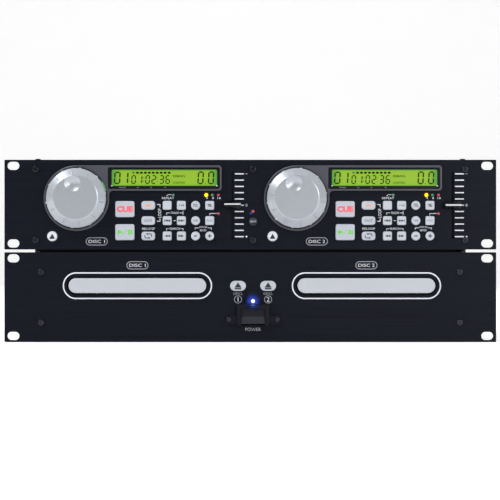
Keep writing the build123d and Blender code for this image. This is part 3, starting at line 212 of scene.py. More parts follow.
PANEL = brushed("brushed_black", srgb(11, 13, 22), srgb(18, 21, 33), 0.4, Specular_IOR_Level=0.1)
CASE = mottled("black_powder_coat", srgb(24, 24, 26), 0.52, 1400.0, 0.10, 0.25, Specular_IOR_Level=0.3)
MOULDED = mottled("black_moulding", srgb(20, 20, 25), 0.38, 1800.0, 0.10, 0.12, Specular_IOR_Level=0.3)
GUARD = mottled("guard_moulding", srgb(19, 20, 28), 0.36, 1800.0, 0.10, 0.12, Specular_IOR_Level=0.12)
FADER = mottled("fader_moulding", srgb(17, 17, 20), 0.26, 1800.0, 0.10, 0.08, Specular_IOR_Level=0.5)
BEZEL = mottled("grey_bezel", srgb(68, 69, 77), 0.34, 1600.0, 0.05, 0.06)
RUBBER_AND_GAP_SHADE = mottled("black_rubber_and_gap_shade", srgb(16, 16, 17), 0.8, 700.0, 0.15, 0.3)
SCREW = mottled("black_screw", srgb(50, 51, 57), 0.2, 1500.0, 0.1, 0.05, Metallic=0.8)
NICKEL = mottled("nickel", srgb(196, 194, 188), 0.22, 900.0, 0.04, 0.02, Metallic=1.0)
SILVER = mottled("silver_paint", srgb(176, 181, 189), 0.29, 2600.0, 0.02, 0.03, Metallic=0.45)
KEY = mottled("silver_key", srgb(187, 192, 203), 0.36, 2400.0, 0.02, 0.03)
KEY_LIGHT = mottled("light_key", srgb(190, 195, 205), 0.36, 2400.0, 0.02, 0.03)
KEY_WHITE = mottled("white_key", srgb(216, 219, 227), 0.36, 2400.0, 0.02, 0.03)
DARK_KEY = mottled("dark_key", srgb(31, 40, 47), 0.3, 2000.0, 0.06, 0.06)
MECHANISM = mottled("black_mechanism", srgb(20, 20, 22), 0.55, 1200.0, 0.1, 0.1, Specular_IOR_Level=0.2)
# White ink for the printing, also used for the painted highlights at the display corners.
WHITE_INK_AND_GLINTS = print_ink("white_ink_and_glints", srgb(226, 228, 234))
DIM_INK = print_ink("grey_ink", srgb(160, 163, 170))
BLACK_INK = print_ink("black_ink", srgb(20, 21, 28))
MID_INK = print_ink("mid_ink", srgb(58, 61, 72))
GREY_INK = print_ink("light_grey_ink", srgb(136, 139, 151))
RED_INK = print_ink("red_ink", srgb(250, 100, 110))
GREEN_INK = print_ink("green_ink", srgb(106, 214, 54))
ORANGE_INK = print_ink("orange_ink", srgb(238, 160, 104))
MASK = mottled("window_mask", srgb(14, 15, 22), 0.2, 900.0, 0.05, 0.0, Specular_IOR_Level=0.4)
SEGMENT = mottled("display_segment", srgb(30, 60, 16), 0.6, 900.0, 0.05, 0.0, Specular_IOR_Level=0.1)
SEGMENT_BOLD = mottled("display_block", srgb(10, 18, 10), 0.6, 900.0, 0.05, 0.0, Specular_IOR_Level=0.1)
SEGMENT_DIM = mottled("display_word", srgb(66, 112, 30), 0.6, 900.0, 0.05, 0.0, Specular_IOR_Level=0.1)
RED_RING = mottled("red_ring", srgb(170, 26, 26), 0.4, 1600.0, 0.05, 0.04)
WHITE_RING = mottled("white_ring", srgb(225, 224, 218), 0.4, 1600.0, 0.03, 0.04)
BLACK_RING = mottled("black_ring", srgb(20, 20, 20), 0.4, 1600.0, 0.05, 0.04)


def pane_finish():
    """The clear pane over a display: a faint dark tint with faint unevenness in its gloss."""
    finish = Finish("clear_pane", srgb(10, 11, 16), 0.05, Alpha=0.12)
    return finish.use("Roughness", finish.spread(finish.noise(60.0), 0.02, 0.07))


def board_finish():
    """Green laminate with copper tracks, behind the black parts that stand on its front."""
    finish = Finish("circuit_board", srgb(16, 74, 40), 0.4)
    tracks = finish.node("ShaderNodeTexBrick", {"Vector": finish.place, "Scale": 220.0,
                                                "Mortar Size": 0.06}).outputs["Fac"]
    laminate = finish.mix(tracks, srgb(14, 66, 36), srgb(46, 110, 62))
    in_front = finish.maths("LESS_THAN", finish.axis(1), BOARD_FACE_Y)
    return finish.use("Base Color", finish.mix(in_front, laminate, srgb(9, 9, 11)))


def rocker_finish():
    """Black moulding whose lower half is a lighter grey, as painted light where the tilted lower half
    catches the light from above.
    """
    finish = mottled("rocker_moulding_painted_light", srgb(24, 25, 34), 0.38, 1800.0, 0.08, 0.12, Specular_IOR_Level=0.2)
    # The lower half below the rocker's middle gets the painted light.
    lower = finish.maths("LESS_THAN", finish.axis(2), centre("power_rocker").z)
    patches = finish.noise(60.0, detail=3.0)
    painted_lit_grey = finish.mix(patches, srgb(44, 45, 52), srgb(50, 51, 58))
    return finish.use("Base Color", finish.mix(lower, srgb(17, 18, 27), painted_lit_grey))


PANE = pane_finish()
BOARD = board_finish()


# ---------- meshes
def placed(name, data):
    """A new object of the scene that holds the data."""
    made = bpy.data.objects.new(name, data)
    bpy.context.scene.collection.objects.link(made)
    return made


def build(name, verts, faces, finish, body, smooth=False):
    """A mesh piece with its finish, riding on a body."""
    mesh = bpy.data.meshes.new(name)
    mesh.from_pydata([tuple(v) for v in verts], [], faces)
    mesh.materials.append(finish.material)
    mesh.polygons.foreach_set("use_smooth", [smooth] * len(mesh.polygons))
    mesh.update()
    piece = placed(name, mesh)
    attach(piece, body)
    return piece


def bevelled(piece, width, angle=40):
    """Rounds a piece's edges for the light, with a modifier only."""
    bevel = piece.modifiers.new("edge", "BEVEL")
    bevel.width, bevel.segments = width, 2
    bevel.limit_method, bevel.angle_limit = "ANGLE", radians(angle)
    return bevel


def soften(piece, width):
    """Rounds a piece's hard edges a little and shades it smoothly across them."""
    bevelled(piece, width, 35).harden_normals = True
    for polygon in piece.data.polygons:
        polygon.use_smooth = True


def rounded_loop(width, height, corner, steps=8):
    """Points round a rectangle with round corners, from its middle."""
    corner = min(corner, width / 2, height / 2)
    points = []
    for turn, (sx, sz) in enumerate(((1, 1), (-1, 1), (-1, -1), (1, -1))):
        cx, cz = sx * (width / 2 - corner), sz * (height / 2 - corner)
        for step in range(steps + 1):
            angle = radians(90 * (turn + step / steps))
            points.append((cx + corner * cos(angle), cz + corner * sin(angle)))
    return points


def rings_solid(rings, closed_ends=True):
    """Verts and faces of a solid through rings of equal length, each a list of 3-D points."""
    count = len(rings[0])
    verts = [point for ring in rings for point in ring]
    faces = []
    for row in range(len(rings) - 1):
        for index in range(count):
            near, far = row * count + index, row * count + (index + 1) % count
            faces.append((near, far, far + count, near + count))
    if closed_ends:
        faces.append(tuple(reversed(range(count))))
        faces.append(tuple(range((len(rings) - 1) * count, len(rings) * count)))
    return verts, faces


def rings_loop(rings):
    """Verts and faces of a hoop whose section runs round through rings of equal length."""
    verts, faces = rings_solid(rings, closed_ends=False)
    count = len(rings[0])
    last = (len(rings) - 1) * count
    for index in range(count):
        after = (index + 1) % count
        faces.append((last + index, last + after, after, index))
    return verts, faces


def stacked(x, z, size, layers, steps=8):
    """A solid of rounded outlines stacked in depth: each layer gives its inset and its depth."""
    width, height, corner = size
    rings = []
    for inset, depth in layers:
        loop = rounded_loop(width - 2 * inset, height - 2 * inset, max(corner - inset, 0.05 * MM), steps)
        rings.append([(x + px, depth, z + pz) for px, pz in loop])
    return rings_solid(rings)


def round_edge(front, radius, steps=5):
    """Layers of a rounded front edge, from the side wall to the front face."""
    turns = [radians(90 * step / steps) for step in range(steps + 1)]
    return [(radius * (1 - cos(turn)), front + radius * (1 - sin(turn))) for turn in turns]


class Printing:
    """Thin raised shapes gathered into one mesh, such as all the printing on a panel."""

    def __init__(self, depth, thickness=0.04 * MM):
        self.depth, self.thickness = depth, thickness
        self.verts, self.faces = [], []

    def add(self, verts, faces):
        """Takes in a shape."""
        start = len(self.verts)
        self.verts += verts
        self.faces += [tuple(start + index for index in face) for face in faces]

    def plate(self, points):
        """A flat shape from its outline."""
        rings = [[(x, depth, z) for x, z in points] for depth in (self.depth, self.depth - self.thickness)]
        self.add(*rings_solid(rings))

    def band(self, x, z, width, height, corner, line, steps=10):
        """A closed line of that thickness round a rounded rectangle."""
        outer = rounded_loop(width, height, corner, steps)
        inner = rounded_loop(width - 2 * line, height - 2 * line, max(corner - line, 0.01 * MM), steps)
        self.between(*([(x + px, z + pz) for px, pz in loop] for loop in (outer, inner)))

    def between(self, outer, inner):
        """A flat shape between two outlines with the same number of points."""
        near, far = self.depth - self.thickness, self.depth
        section = ((outer, far), (outer, near), (inner, near), (inner, far))
        self.add(*rings_loop([[(x, depth, z) for x, z in loop] for loop, depth in section]))

    def line(self, points, width):
        """An open line through points, mitred at its corners."""
        sides = ([], [])
        for index, point in enumerate(points):
            before = points[max(index - 1, 0)]
            after = points[min(index + 1, len(points) - 1)]
            turns = []
            for start, end in ((before, point), (point, after)):
                length = hypot(end[0] - start[0], end[1] - start[1])
                if length:
                    turns.append((-(end[1] - start[1]) / length, (end[0] - start[0]) / length))
            nx, nz = sum(t[0] for t in turns), sum(t[1] for t in turns)
            reach = width / (nx * nx + nz * nz) * len(turns)
            sides[0].append((point[0] + nx * reach / 2, point[1] + nz * reach / 2))
            sides[1].append((point[0] - nx * reach / 2, point[1] - nz * reach / 2))
        for index in range(len(points) - 1):
            self.plate([sides[1][index], sides[1][index + 1], sides[0][index + 1], sides[0][index]])

    def text(self, words, x, z, height, wide, weight, slant=0.0, upright=False):
        """Lettering centred on a place, with capitals of that height, and that wide where asked."""
        curve = bpy.data.curves.new(words, "FONT")
        curve.body = words
        curve.align_x, curve.align_y = "CENTER", "CENTER"
        curve.offset = weight
        curve.shear = slant
        curve.extrude = 0.5
        curve.resolution_u = 3
        holder = placed(words, curve)
        mesh = bpy.data.meshes.new_from_object(holder.evaluated_get(bpy.context.evaluated_depsgraph_get()))
        xs = [v.co.x for v in mesh.vertices]
        ys = [v.co.y for v in mesh.vertices]
        size = height / (max(ys) - min(ys))
        stretch = wide / ((max(xs) - min(xs)) * size) if wide else 1.0
        mid_x, mid_y = (max(xs) + min(xs)) / 2, (max(ys) + min(ys)) / 2
        verts = []
        for vert in mesh.vertices:
            across, up = (vert.co.x - mid_x) * size * stretch, (vert.co.y - mid_y) * size
            if upright:
                across, up = -up, across
            lift = (0.5 + vert.co.z) * self.thickness
            verts.append((x + across, self.depth - lift, z + up))
        self.add(verts, [tuple(polygon.vertices) for polygon in mesh.polygons])
        bpy.data.objects.remove(holder)
        bpy.data.meshes.remove(mesh)

    def piece(self, name, finish, body, slot=None):
        """Makes the gathered shapes one piece."""
        build(name, self.verts, self.faces, finish, body)


# ---------- carried-over CAD nodes
def dress(finish, *names):
    """Gives CAD nodes their finish."""
    for name in names:
        node = frame["nodes"][name]
        node.data.materials.clear()
        node.data.materials.append(finish.material)


dress(PANEL, "controller_faceplate", "drive_faceplate")
dress(CASE, "controller_chassis", "controller_cover", "drive_chassis", "drive_cover")
dress(BEZEL, "display_bezels")
dress(PANE, "display_windows")
dress(BOARD, "circuit_boards")
dress(MECHANISM, "disc_loaders")
dress(MOULDED, "rear_sockets")
dress(GUARD, "power_switch_guard")
dress(rocker_finish(), "power_rocker")
dress(FADER, "pitch_fader_1", "pitch_fader_2")
# Black rubber strips between the units: the controller's feet, and, running the full width, a dark fill
# standing in for the shade in the gap.
dress(RUBBER_AND_GAP_SHADE, "foot_strips")
dress(SCREW, "screws")


for node, edge in (("controller_faceplate", 0.25), ("drive_faceplate", 0.25), ("display_bezels", 0.3),
                   ("power_switch_guard", 0.4), ("power_rocker", 0.4), ("pitch_fader_1", 0.35),
                   ("pitch_fader_2", 0.35), ("screws", 0.2)):
    bevelled(frame["nodes"][node], edge * MM)


def tray_finish():
    """Silver paint on a tray's front and black moulding on the tray behind it."""
    finish = mottled("tray_silver_and_black", srgb(190, 193, 200), 0.36, 2600.0, 0.02, 0.03)
    behind = finish.maths("GREATER_THAN", finish.axis(1), TRAY_FRONT_Y)
    patches = finish.noise(18.0, detail=3.0)
    silver = finish.mix(patches, srgb(187, 190, 198), srgb(194, 197, 204))
    return finish.use("Base Color", finish.mix(behind, silver, srgb(26, 26, 28)))


dress(tray_finish(), "disc_tray_1", "disc_tray_2")


# ---------- keys
LEGEND_LIFT, THIN = 0.02 * MM, 0.03 * MM
KEY_RIM, KEY_DISH = 0.8 * MM, 0.18 * MM
KEY_FOOT_Y = PANEL_BACK + 1.2 * MM
SMALL_CORNER, ROUND = 1.5, 9.0
KEY_CORNERS = {
    "cue_key": 2.0, "play_pause_key": 2.0, "loop_in_key": 2.8, "loop_out_key": 2.8, "reloop_key": 2.8,
    "single_key": ROUND, "time_key": ROUND, "bend_minus_key": ROUND, "bend_plus_key": ROUND,
    "eject_key": ROUND, "open_close_key": ROUND, "relay_key": ROUND,
}
LIGHT_KEYS = ("track_back_key", "search_back_key", "track_next_key", "search_next_key",
              "plus_ten_key", "single_key", "time_key", "repeat_key", "bend_minus_key",
              "bend_plus_key", "percent_key", "pitch_key")


def key_cap(stem, number=None, finish=KEY):
    """A key cap with a rounded rim and a slightly dished top, in place of the plain one."""
    node = f"{stem}_{number}" if number else stem
    body = frame["nodes"][node]["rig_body"]
    middle, size, front = centre(node), extent(node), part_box(node)[0].y
    width, height = size.x - 2 * CAP_FLANGE, size.z - 2 * CAP_FLANGE
    corner = min(KEY_CORNERS.get(stem, SMALL_CORNER) * MM, width / 2, height / 2)
    layers = [(0.0, KEY_FOOT_Y)] + round_edge(front, KEY_RIM)
    layers += [(KEY_RIM + 0.35 * MM, front + 0.35 * KEY_DISH), (KEY_RIM + 0.9 * MM, front + KEY_DISH)]
    verts, faces = stacked(middle.x, middle.z, (width, height, corner), layers)
    cap = build(f"{node}_cap", verts, faces, finish, body, smooth=True)
    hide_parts(node)
    return middle, front + KEY_DISH, body


def legend(node, finish, draw, middle, face, body):
    """The printing on a key: draw puts its shapes on a sheet that lies on the key's face."""
    sheet = Printing(face - LEGEND_LIFT, THIN)
    draw(sheet, middle.x, middle.z)
    sheet.piece(f"{node}_legend", finish, body, "key")


def triangle(sheet, x, z, width, height, turn=1):
    """A filled arrow head that points to the right, or to the left where turn is -1."""
    sheet.plate([(x - turn * width / 2, z - height / 2), (x + turn * width / 2, z),
                 (x - turn * width / 2, z + height / 2)][::turn])


def block(sheet, x, z, width, height):
    """A filled rectangle."""
    half_w, half_h = width / 2, height / 2
    sheet.plate([(x - half_w, z - half_h), (x + half_w, z - half_h),
                 (x + half_w, z + half_h), (x - half_w, z + half_h)])


def play_pause(sheet, x, z):
    """An arrow head, a slanted stroke and two bars."""
    triangle(sheet, x - 4.3 * MM, z, 5.3 * MM, 4.9 * MM)
    sheet.line([(x - 2.1 * MM, z - 2.6 * MM), (x + 1.95 * MM, z + 2.6 * MM)], 0.6 * MM)
    for dx in (4.1, 6.6):
        block(sheet, x + dx * MM, z, 1.75 * MM, 4.9 * MM)


def arrows(turn, bar):
    """A drawing of two arrow heads, with a bar in front of them where asked."""
    def draw(sheet, x, z):
        for dx in (-1.6, 1.0):
            triangle(sheet, x + turn * dx * MM, z, 2.8 * MM, 2.6 * MM, turn)
        if bar:
            block(sheet, x + turn * 2.75 * MM, z, 0.8 * MM, 2.6 * MM)
    return draw


def arc_points(x, z, rx, rz, start, end, steps):
    """Points along an arc, in degrees."""
    turns = [radians(start + (end - start) * step / steps) for step in range(steps + 1)]
    return [(x + rx * cos(turn), z + rz * sin(turn)) for turn in turns]


def loop_sign(sheet, x, z):
    """Two bent arrows that chase each other round."""
    for side in (-1, 1):
        points = [(x - side * 0.4 * MM, z + side * 2.0 * MM), (x + side * 2.4 * MM, z + side * 2.0 * MM),
                  (x + side * 3.3 * MM, z + side * 1.1 * MM), (x + side * 3.3 * MM, z - side * 0.7 * MM)]
        sheet.line(points, 0.9 * MM)
        tip_x, tip_z = x - side * 2.3 * MM, z + side * 2.0 * MM
        sheet.plate([(tip_x, tip_z), (tip_x + side * 2.0 * MM, tip_z - side * 1.25 * MM),
                     (tip_x + side * 2.0 * MM, tip_z + side * 1.25 * MM)])


def eject_sign(width, height, bar):
    """A drawing of an upward arrow head, over a bar where asked."""
    def draw(sheet, x, z):
        foot = z - height / 2 + (0.95 * MM if bar else 0.0)
        sheet.plate([(x - width / 2, foot), (x + width / 2, foot), (x, foot + height)])
        if bar:
            block(sheet, x, foot - 1.2 * MM, width - 0.5 * MM, 1.6 * MM)
    return draw


def words(text, height, wide, weight, slant=0.0):
    """A drawing of a word in the middle of a key."""
    return lambda sheet, x, z: sheet.text(text, x, z, height * MM, wide * MM, weight, slant)


def stacked_words(upper, lower, height, wide):
    """A drawing of two short words over each other."""
    def draw(sheet, x, z):
        for text, side in ((upper, 1), (lower, -1)):
            sheet.text(text, x, z + side * 0.62 * height * MM, height * MM, wide * MM, 0.02)
    return draw


def cross(sheet, x, z, reach, stroke):
    """A plus sign."""
    block(sheet, x, z, 2 * reach, stroke)
    for side in (-1, 1):
        block(sheet, x, z + side * (reach + stroke / 2) / 2, stroke, reach - stroke / 2)


KEY_LEGENDS = {
    "cue_key": (RED_INK, words("CUE", 6.0, 15.9, 0.06)),
    "play_pause_key": (GREEN_INK, play_pause),
    "loop_in_key": (ORANGE_INK, words("IN", 2.6, 4.5, 0.05, 0.12)),
    "loop_out_key": (GREY_INK, words("OUT", 2.65, 8.1, 0.04)),
    "reloop_key": (MID_INK, loop_sign),
    "track_back_key": (BLACK_INK, arrows(-1, True)),
    "search_back_key": (BLACK_INK, arrows(-1, False)),
    "plus_ten_key": (MID_INK, words("+10", 1.7, 5.4, 0.03)),
    "track_next_key": (BLACK_INK, arrows(1, True)),
    "search_next_key": (BLACK_INK, arrows(1, False)),
    "single_key": (BLACK_INK, stacked_words("SGL", "CTN", 1.5, 4.8)),
    "time_key": (GREY_INK, words("TIME", 1.7, 4.8, 0.04)),
    "bend_minus_key": (MID_INK, lambda sheet, x, z: block(sheet, x, z, 3.3 * MM, 1.1 * MM)),
    "percent_key": (MID_INK, words("%", 3.0, 4.3, 0.03)),
    "pitch_key": (GREY_INK, words("PITCH", 1.7, 6.7, 0.04)),
    "bend_plus_key": (MID_INK, lambda sheet, x, z: cross(sheet, x, z, 1.75 * MM, 1.0 * MM)),
    "eject_key": (BLACK_INK, eject_sign(5.8 * MM, 5.0 * MM, False)),
    "open_close_key": (BLACK_INK, eject_sign(7.0 * MM, 5.2 * MM, True)),
    "repeat_key": None,
}


def keys():
    """All the keys of both units with their legends."""
    for number in DECKS:
        for stem, printed in KEY_LEGENDS.items():
            finish = KEY_LIGHT if stem in LIGHT_KEYS else KEY
            if stem == "eject_key":
                finish = KEY_WHITE
            middle, face, body = key_cap(stem, number, finish)
            if printed:
                ink, draw = printed
                legend(f"{stem}_{number}", ink, draw, middle, face, body)
    middle, face, body = key_cap("relay_key", finish=DARK_KEY)
    legend("relay_key", DIM_INK, words("RELAY", 1.8, 6.6, 0.05), middle, face, body)


keys()


# ---------- jog wheels
JOG_TURNS = 300
JOG_BUMPS = 10
JOG_R, JOG_TOP_R = 29.2 * MM, 21.7 * MM
JOG_FOOT_H = 0.9 * MM
JOG_SOFT = 0.9 * MM
JOG_RIM_H = 8.4 * MM
JOG_RIM_ROUND = 0.8 * MM
DIMPLE_X, DIMPLE_Z, DIMPLE_R = -2.65 * MM, 13.6 * MM, 7.8 * MM
DIMPLE_DEEP, DIMPLE_LIP, DIMPLE_REACH = 2.4 * MM, 0.16 * MM, 1.3
FACE_RINGS, SOFT_RINGS, BEVEL_RINGS, RIM_RINGS = 46, 8, 6, 5
# A rib's sections by radius, and a bump's by height above the panel, each with its share of the full size.
RIB_SECTIONS = ((22.4, 0.3), (22.7, 0.8), (23.2, 1.0), (26.5, 1.0), (27.0, 0.8), (27.3, 0.3))
BUMP_SECTIONS = ((9.1, 0.35), (8.8, 0.8), (8.2, 1.0), (6.6, 1.0), (1.0, 1.0))
RIB_START, BUMP_START = 26.5, 9.7
ARC_RADII = (29.35, 29.95)


def jog_middle(number):
    """The middle of a jog wheel in the picture plane."""
    return Vector((DECK_X[number] + JOG_DX, 0, CONTROL.z + JOG_DZ))


def dimple_depth(dx, dz):
    """How deep the finger dimple is at a place on the wheel's face: a bowl with a soft lip."""
    away = hypot(dx - DIMPLE_X, dz - DIMPLE_Z) / DIMPLE_R
    bowl = DIMPLE_DEEP * (1 - away * away)
    return (bowl + hypot(bowl, DIMPLE_LIP)) / 2 if away < DIMPLE_REACH else 0.0


def jog_slope(height):
    """How much a wheel's bevel falls for each step outwards."""
    return (height - JOG_RIM_H) / (JOG_R - JOG_TOP_R)


def jog_profile(height):
    """Radius and height above the panel, from the middle of the face out and down to the foot."""
    slope, start = jog_slope(height), JOG_TOP_R - JOG_SOFT
    tilt = atan(slope)
    profile = [(start * step / FACE_RINGS, height) for step in range(1, FACE_RINGS + 1)]
    for step in range(1, SOFT_RINGS + 1):
        part = step / SOFT_RINGS
        profile.append((start + 2 * JOG_SOFT * part, height - slope * JOG_SOFT * part * part))
    middle_r = JOG_R - JOG_RIM_ROUND
    touch = middle_r + JOG_RIM_ROUND * sin(tilt)
    middle_h = height - (touch - JOG_TOP_R) * slope - JOG_RIM_ROUND * cos(tilt)
    knee = JOG_TOP_R + JOG_SOFT
    for step in range(1, BEVEL_RINGS + 1):
        radius = knee + (touch - knee) * step / BEVEL_RINGS
        profile.append((radius, height - (radius - JOG_TOP_R) * slope))
    for step in range(1, RIM_RINGS + 1):
        turn = tilt + (pi / 2 - tilt) * step / RIM_RINGS
        profile.append((middle_r + JOG_RIM_ROUND * sin(turn), middle_h + JOG_RIM_ROUND * cos(turn)))
    return profile + [(JOG_R, JOG_FOOT_H)]


def jog_wheel(number):
    """A jog wheel: a flat face with a finger dimple, a bevel, and the marks on it."""
    node = f"jog_wheel_{number}"
    middle = jog_middle(number)
    front = PANEL_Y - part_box(node)[0].y
    profile = jog_profile(front)
    verts = [(middle.x, PANEL_Y - front + dimple_depth(0, 0), middle.z)]
    for radius, height in profile:
        for turn in range(JOG_TURNS):
            angle = 2 * pi * turn / JOG_TURNS
            dx, dz = radius * cos(angle), radius * sin(angle)
            sunk = dimple_depth(dx, dz)
            verts.append((middle.x + dx, PANEL_Y - height + sunk, middle.z + dz))
    faces = [(0, 1 + turn, 1 + (turn + 1) % JOG_TURNS) for turn in range(JOG_TURNS)]
    for row in range(len(profile) - 1):
        start = 1 + row * JOG_TURNS
        for turn in range(JOG_TURNS):
            after = (turn + 1) % JOG_TURNS
            faces.append((start + turn, start + JOG_TURNS + turn, start + JOG_TURNS + after, start + after))
    last = 1 + (len(profile) - 1) * JOG_TURNS
    faces.append(tuple(last + turn for turn in range(JOG_TURNS)))
    wheel = build(f"{node}_body", verts, faces, SILVER, f"jog_{number}", smooth=True)
    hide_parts(node)
    jog_marks(number, middle, front)


def jog_marks(number, middle, front):
    """The half-round ribs across a wheel's bevel and the small bumps at its rim."""
    slope = jog_slope(front)
    verts, faces = [], []

    def add(rings):
        start = len(verts)
        more, sides = rings_solid(rings)
        verts.extend(more)
        faces.extend(tuple(start + index for index in side) for side in sides)

    def spot(radius, angle, across, height):
        dx = radius * cos(angle) - across * sin(angle)
        dz = radius * sin(angle) + across * cos(angle)
        return (middle.x + dx, PANEL_Y - height, middle.z + dz)

    arch = [radians(180 * step / 6) for step in range(7)]
    for index in range(JOG_BUMPS):
        rib = radians(RIB_START + 360 / JOG_BUMPS * index)
        rings = []
        for radius, size in RIB_SECTIONS:
            top = front - (radius * MM - JOG_TOP_R) * slope
            ring = [spot(radius * MM, rib, 0.6 * MM * size * cos(turn), top + 0.65 * MM * size * sin(turn))
                    for turn in arch]
            ring += [spot(radius * MM, rib, side * 0.3 * MM * size, top - 0.4 * MM) for side in (-1, 1)]
            rings.append(ring)
        add(rings)
        bump = radians(BUMP_START + 360 / JOG_BUMPS * index)
        rings = []
        for height, size in BUMP_SECTIONS:
            ring = [spot(JOG_R - 0.1 * MM + 0.85 * MM * size * sin(turn), bump,
                         1.15 * MM * size * cos(turn), height * MM) for turn in arch]
            ring += [spot(JOG_R - 1.2 * MM, bump, side * 0.6 * MM * size, height * MM) for side in (-1, 1)]
            rings.append(ring)
        add(rings)
    marks = build(f"jog_wheel_{number}_marks", verts, faces, SILVER, f"jog_{number}", smooth=True)
    soften(marks, 0.06 * MM)


def running_arc(number, start, end):
    """A glowing arc in the gap round a wheel: painted light, the display's green light as it shows at the
    wheel's edge.
    """
    middle, steps = jog_middle(number), 12
    sheet = Printing(PANEL_Y, 0.4 * MM)
    for step in range(steps):
        turns = [radians(start + (end - start) * (step + side) / steps) for side in (0, 1)]
        inner, outer = [[(middle.x + radius * MM * cos(turn), middle.z + radius * MM * sin(turn))
                         for turn in turns] for radius in ARC_RADII]
        sheet.plate([inner[0], outer[0], outer[1], inner[1]])
    sheet.piece(f"running_arc_{number}", lit("arc_painted_glow", srgb(96, 196, 88), 1.1), "case", "window")


for deck in DECKS:
    jog_wheel(deck)
# Painted glow of the display's green light at the first wheel's edge.
running_arc(1, 14, 33)


# ---------- displays
SEGMENTS = {"0": "abcdef", "1": "bc", "2": "abged", "3": "abgcd", "6": "afgedc"}
# The ends of a figure's seven bars, as shares of half its width and half its height.
SEGMENT_ENDS = {"a": (-1, 1, 1, 1), "b": (1, 0, 1, 1), "c": (1, -1, 1, 0), "d": (-1, -1, 1, -1),
                "e": (-1, -1, -1, 0), "f": (-1, 0, -1, 1), "g": (-1, 0, 1, 0)}
LEAN = 0.06
# Width, height and stroke of the track's, the time's and the pitch's figures.
TRACK_FIGURE = (6.4 * MM, 12.3 * MM, 1.45 * MM)
TIME_FIGURE = (4.6 * MM, 8.7 * MM, 1.15 * MM)
PITCH_FIGURE = (6.1 * MM, 12.7 * MM, 1.45 * MM)
MASK_SIZE = (109.5 * MM, 21.0 * MM, 1.9 * MM)
LCD_SIZE = (103.4 * MM, 16.0 * MM, 1.6 * MM)
LCD_X, LCD_RIGHT, LCD_UP = 21.7 * MM, 0.4 * MM, 0.4 * MM


def window_middle(number):
    """The middle of a display window."""
    return Vector((DECK_X[number] + LCD_X, 0, centre("display_windows").z))


def lcd_finish(number, middle):
    """The lit ground of a display: yellow green, greener and dimmer towards its edges."""
    finish = Finish(f"display_ground_{number}", srgb(120, 180, 40), 0.35)
    edges = []
    for index, at, half in ((0, middle.x, LCD_SIZE[0] / 2), (2, middle.z, LCD_SIZE[1] / 2)):
        away = finish.maths("ABSOLUTE", finish.maths("SUBTRACT", finish.axis(index), at))
        fade = (9.0 if index == 0 else 1.6) * MM
        edges.append(finish.spread(finish.maths("SUBTRACT", half, away), 1.0, 0.0, 0.0, fade))
    edge = finish.maths("MAXIMUM", *edges)
    finish.use("Emission Color", finish.mix(edge, srgb(166, 212, 50), srgb(86, 174, 62)))
    finish.use("Base Color", finish.mix(edge, srgb(40, 60, 14), srgb(28, 56, 20)))
    return finish.shine(0.95)


def digit(sheet, figure, x, z, width, height, stroke):
    """A seven-segment figure made of bars with pointed ends."""
    inner_w, inner_h = width / 2 - stroke / 2, height / 2 - stroke / 2
    gap, full = stroke * 0.16, stroke * 0.16 + stroke / 2
    for name in SEGMENTS[figure]:
        x0, z0, x1, z1 = (end * half for end, half in zip(SEGMENT_ENDS[name], (inner_w, inner_h) * 2))
        length = hypot(x1 - x0, z1 - z0)
        ux, uz = (x1 - x0) / length, (z1 - z0) / length
        points = []
        for at_x, at_z, along, side in ((x0, z0, gap, 0), (x0, z0, full, -1), (x1, z1, -full, -1),
                                        (x1, z1, -gap, 0), (x1, z1, -full, 1), (x0, z0, full, 1)):
            px = x + at_x + ux * along - uz * side * stroke / 2
            pz = at_z + uz * along + ux * side * stroke / 2
            points.append((px + LEAN * pz, z + pz))
        sheet.plate(points)


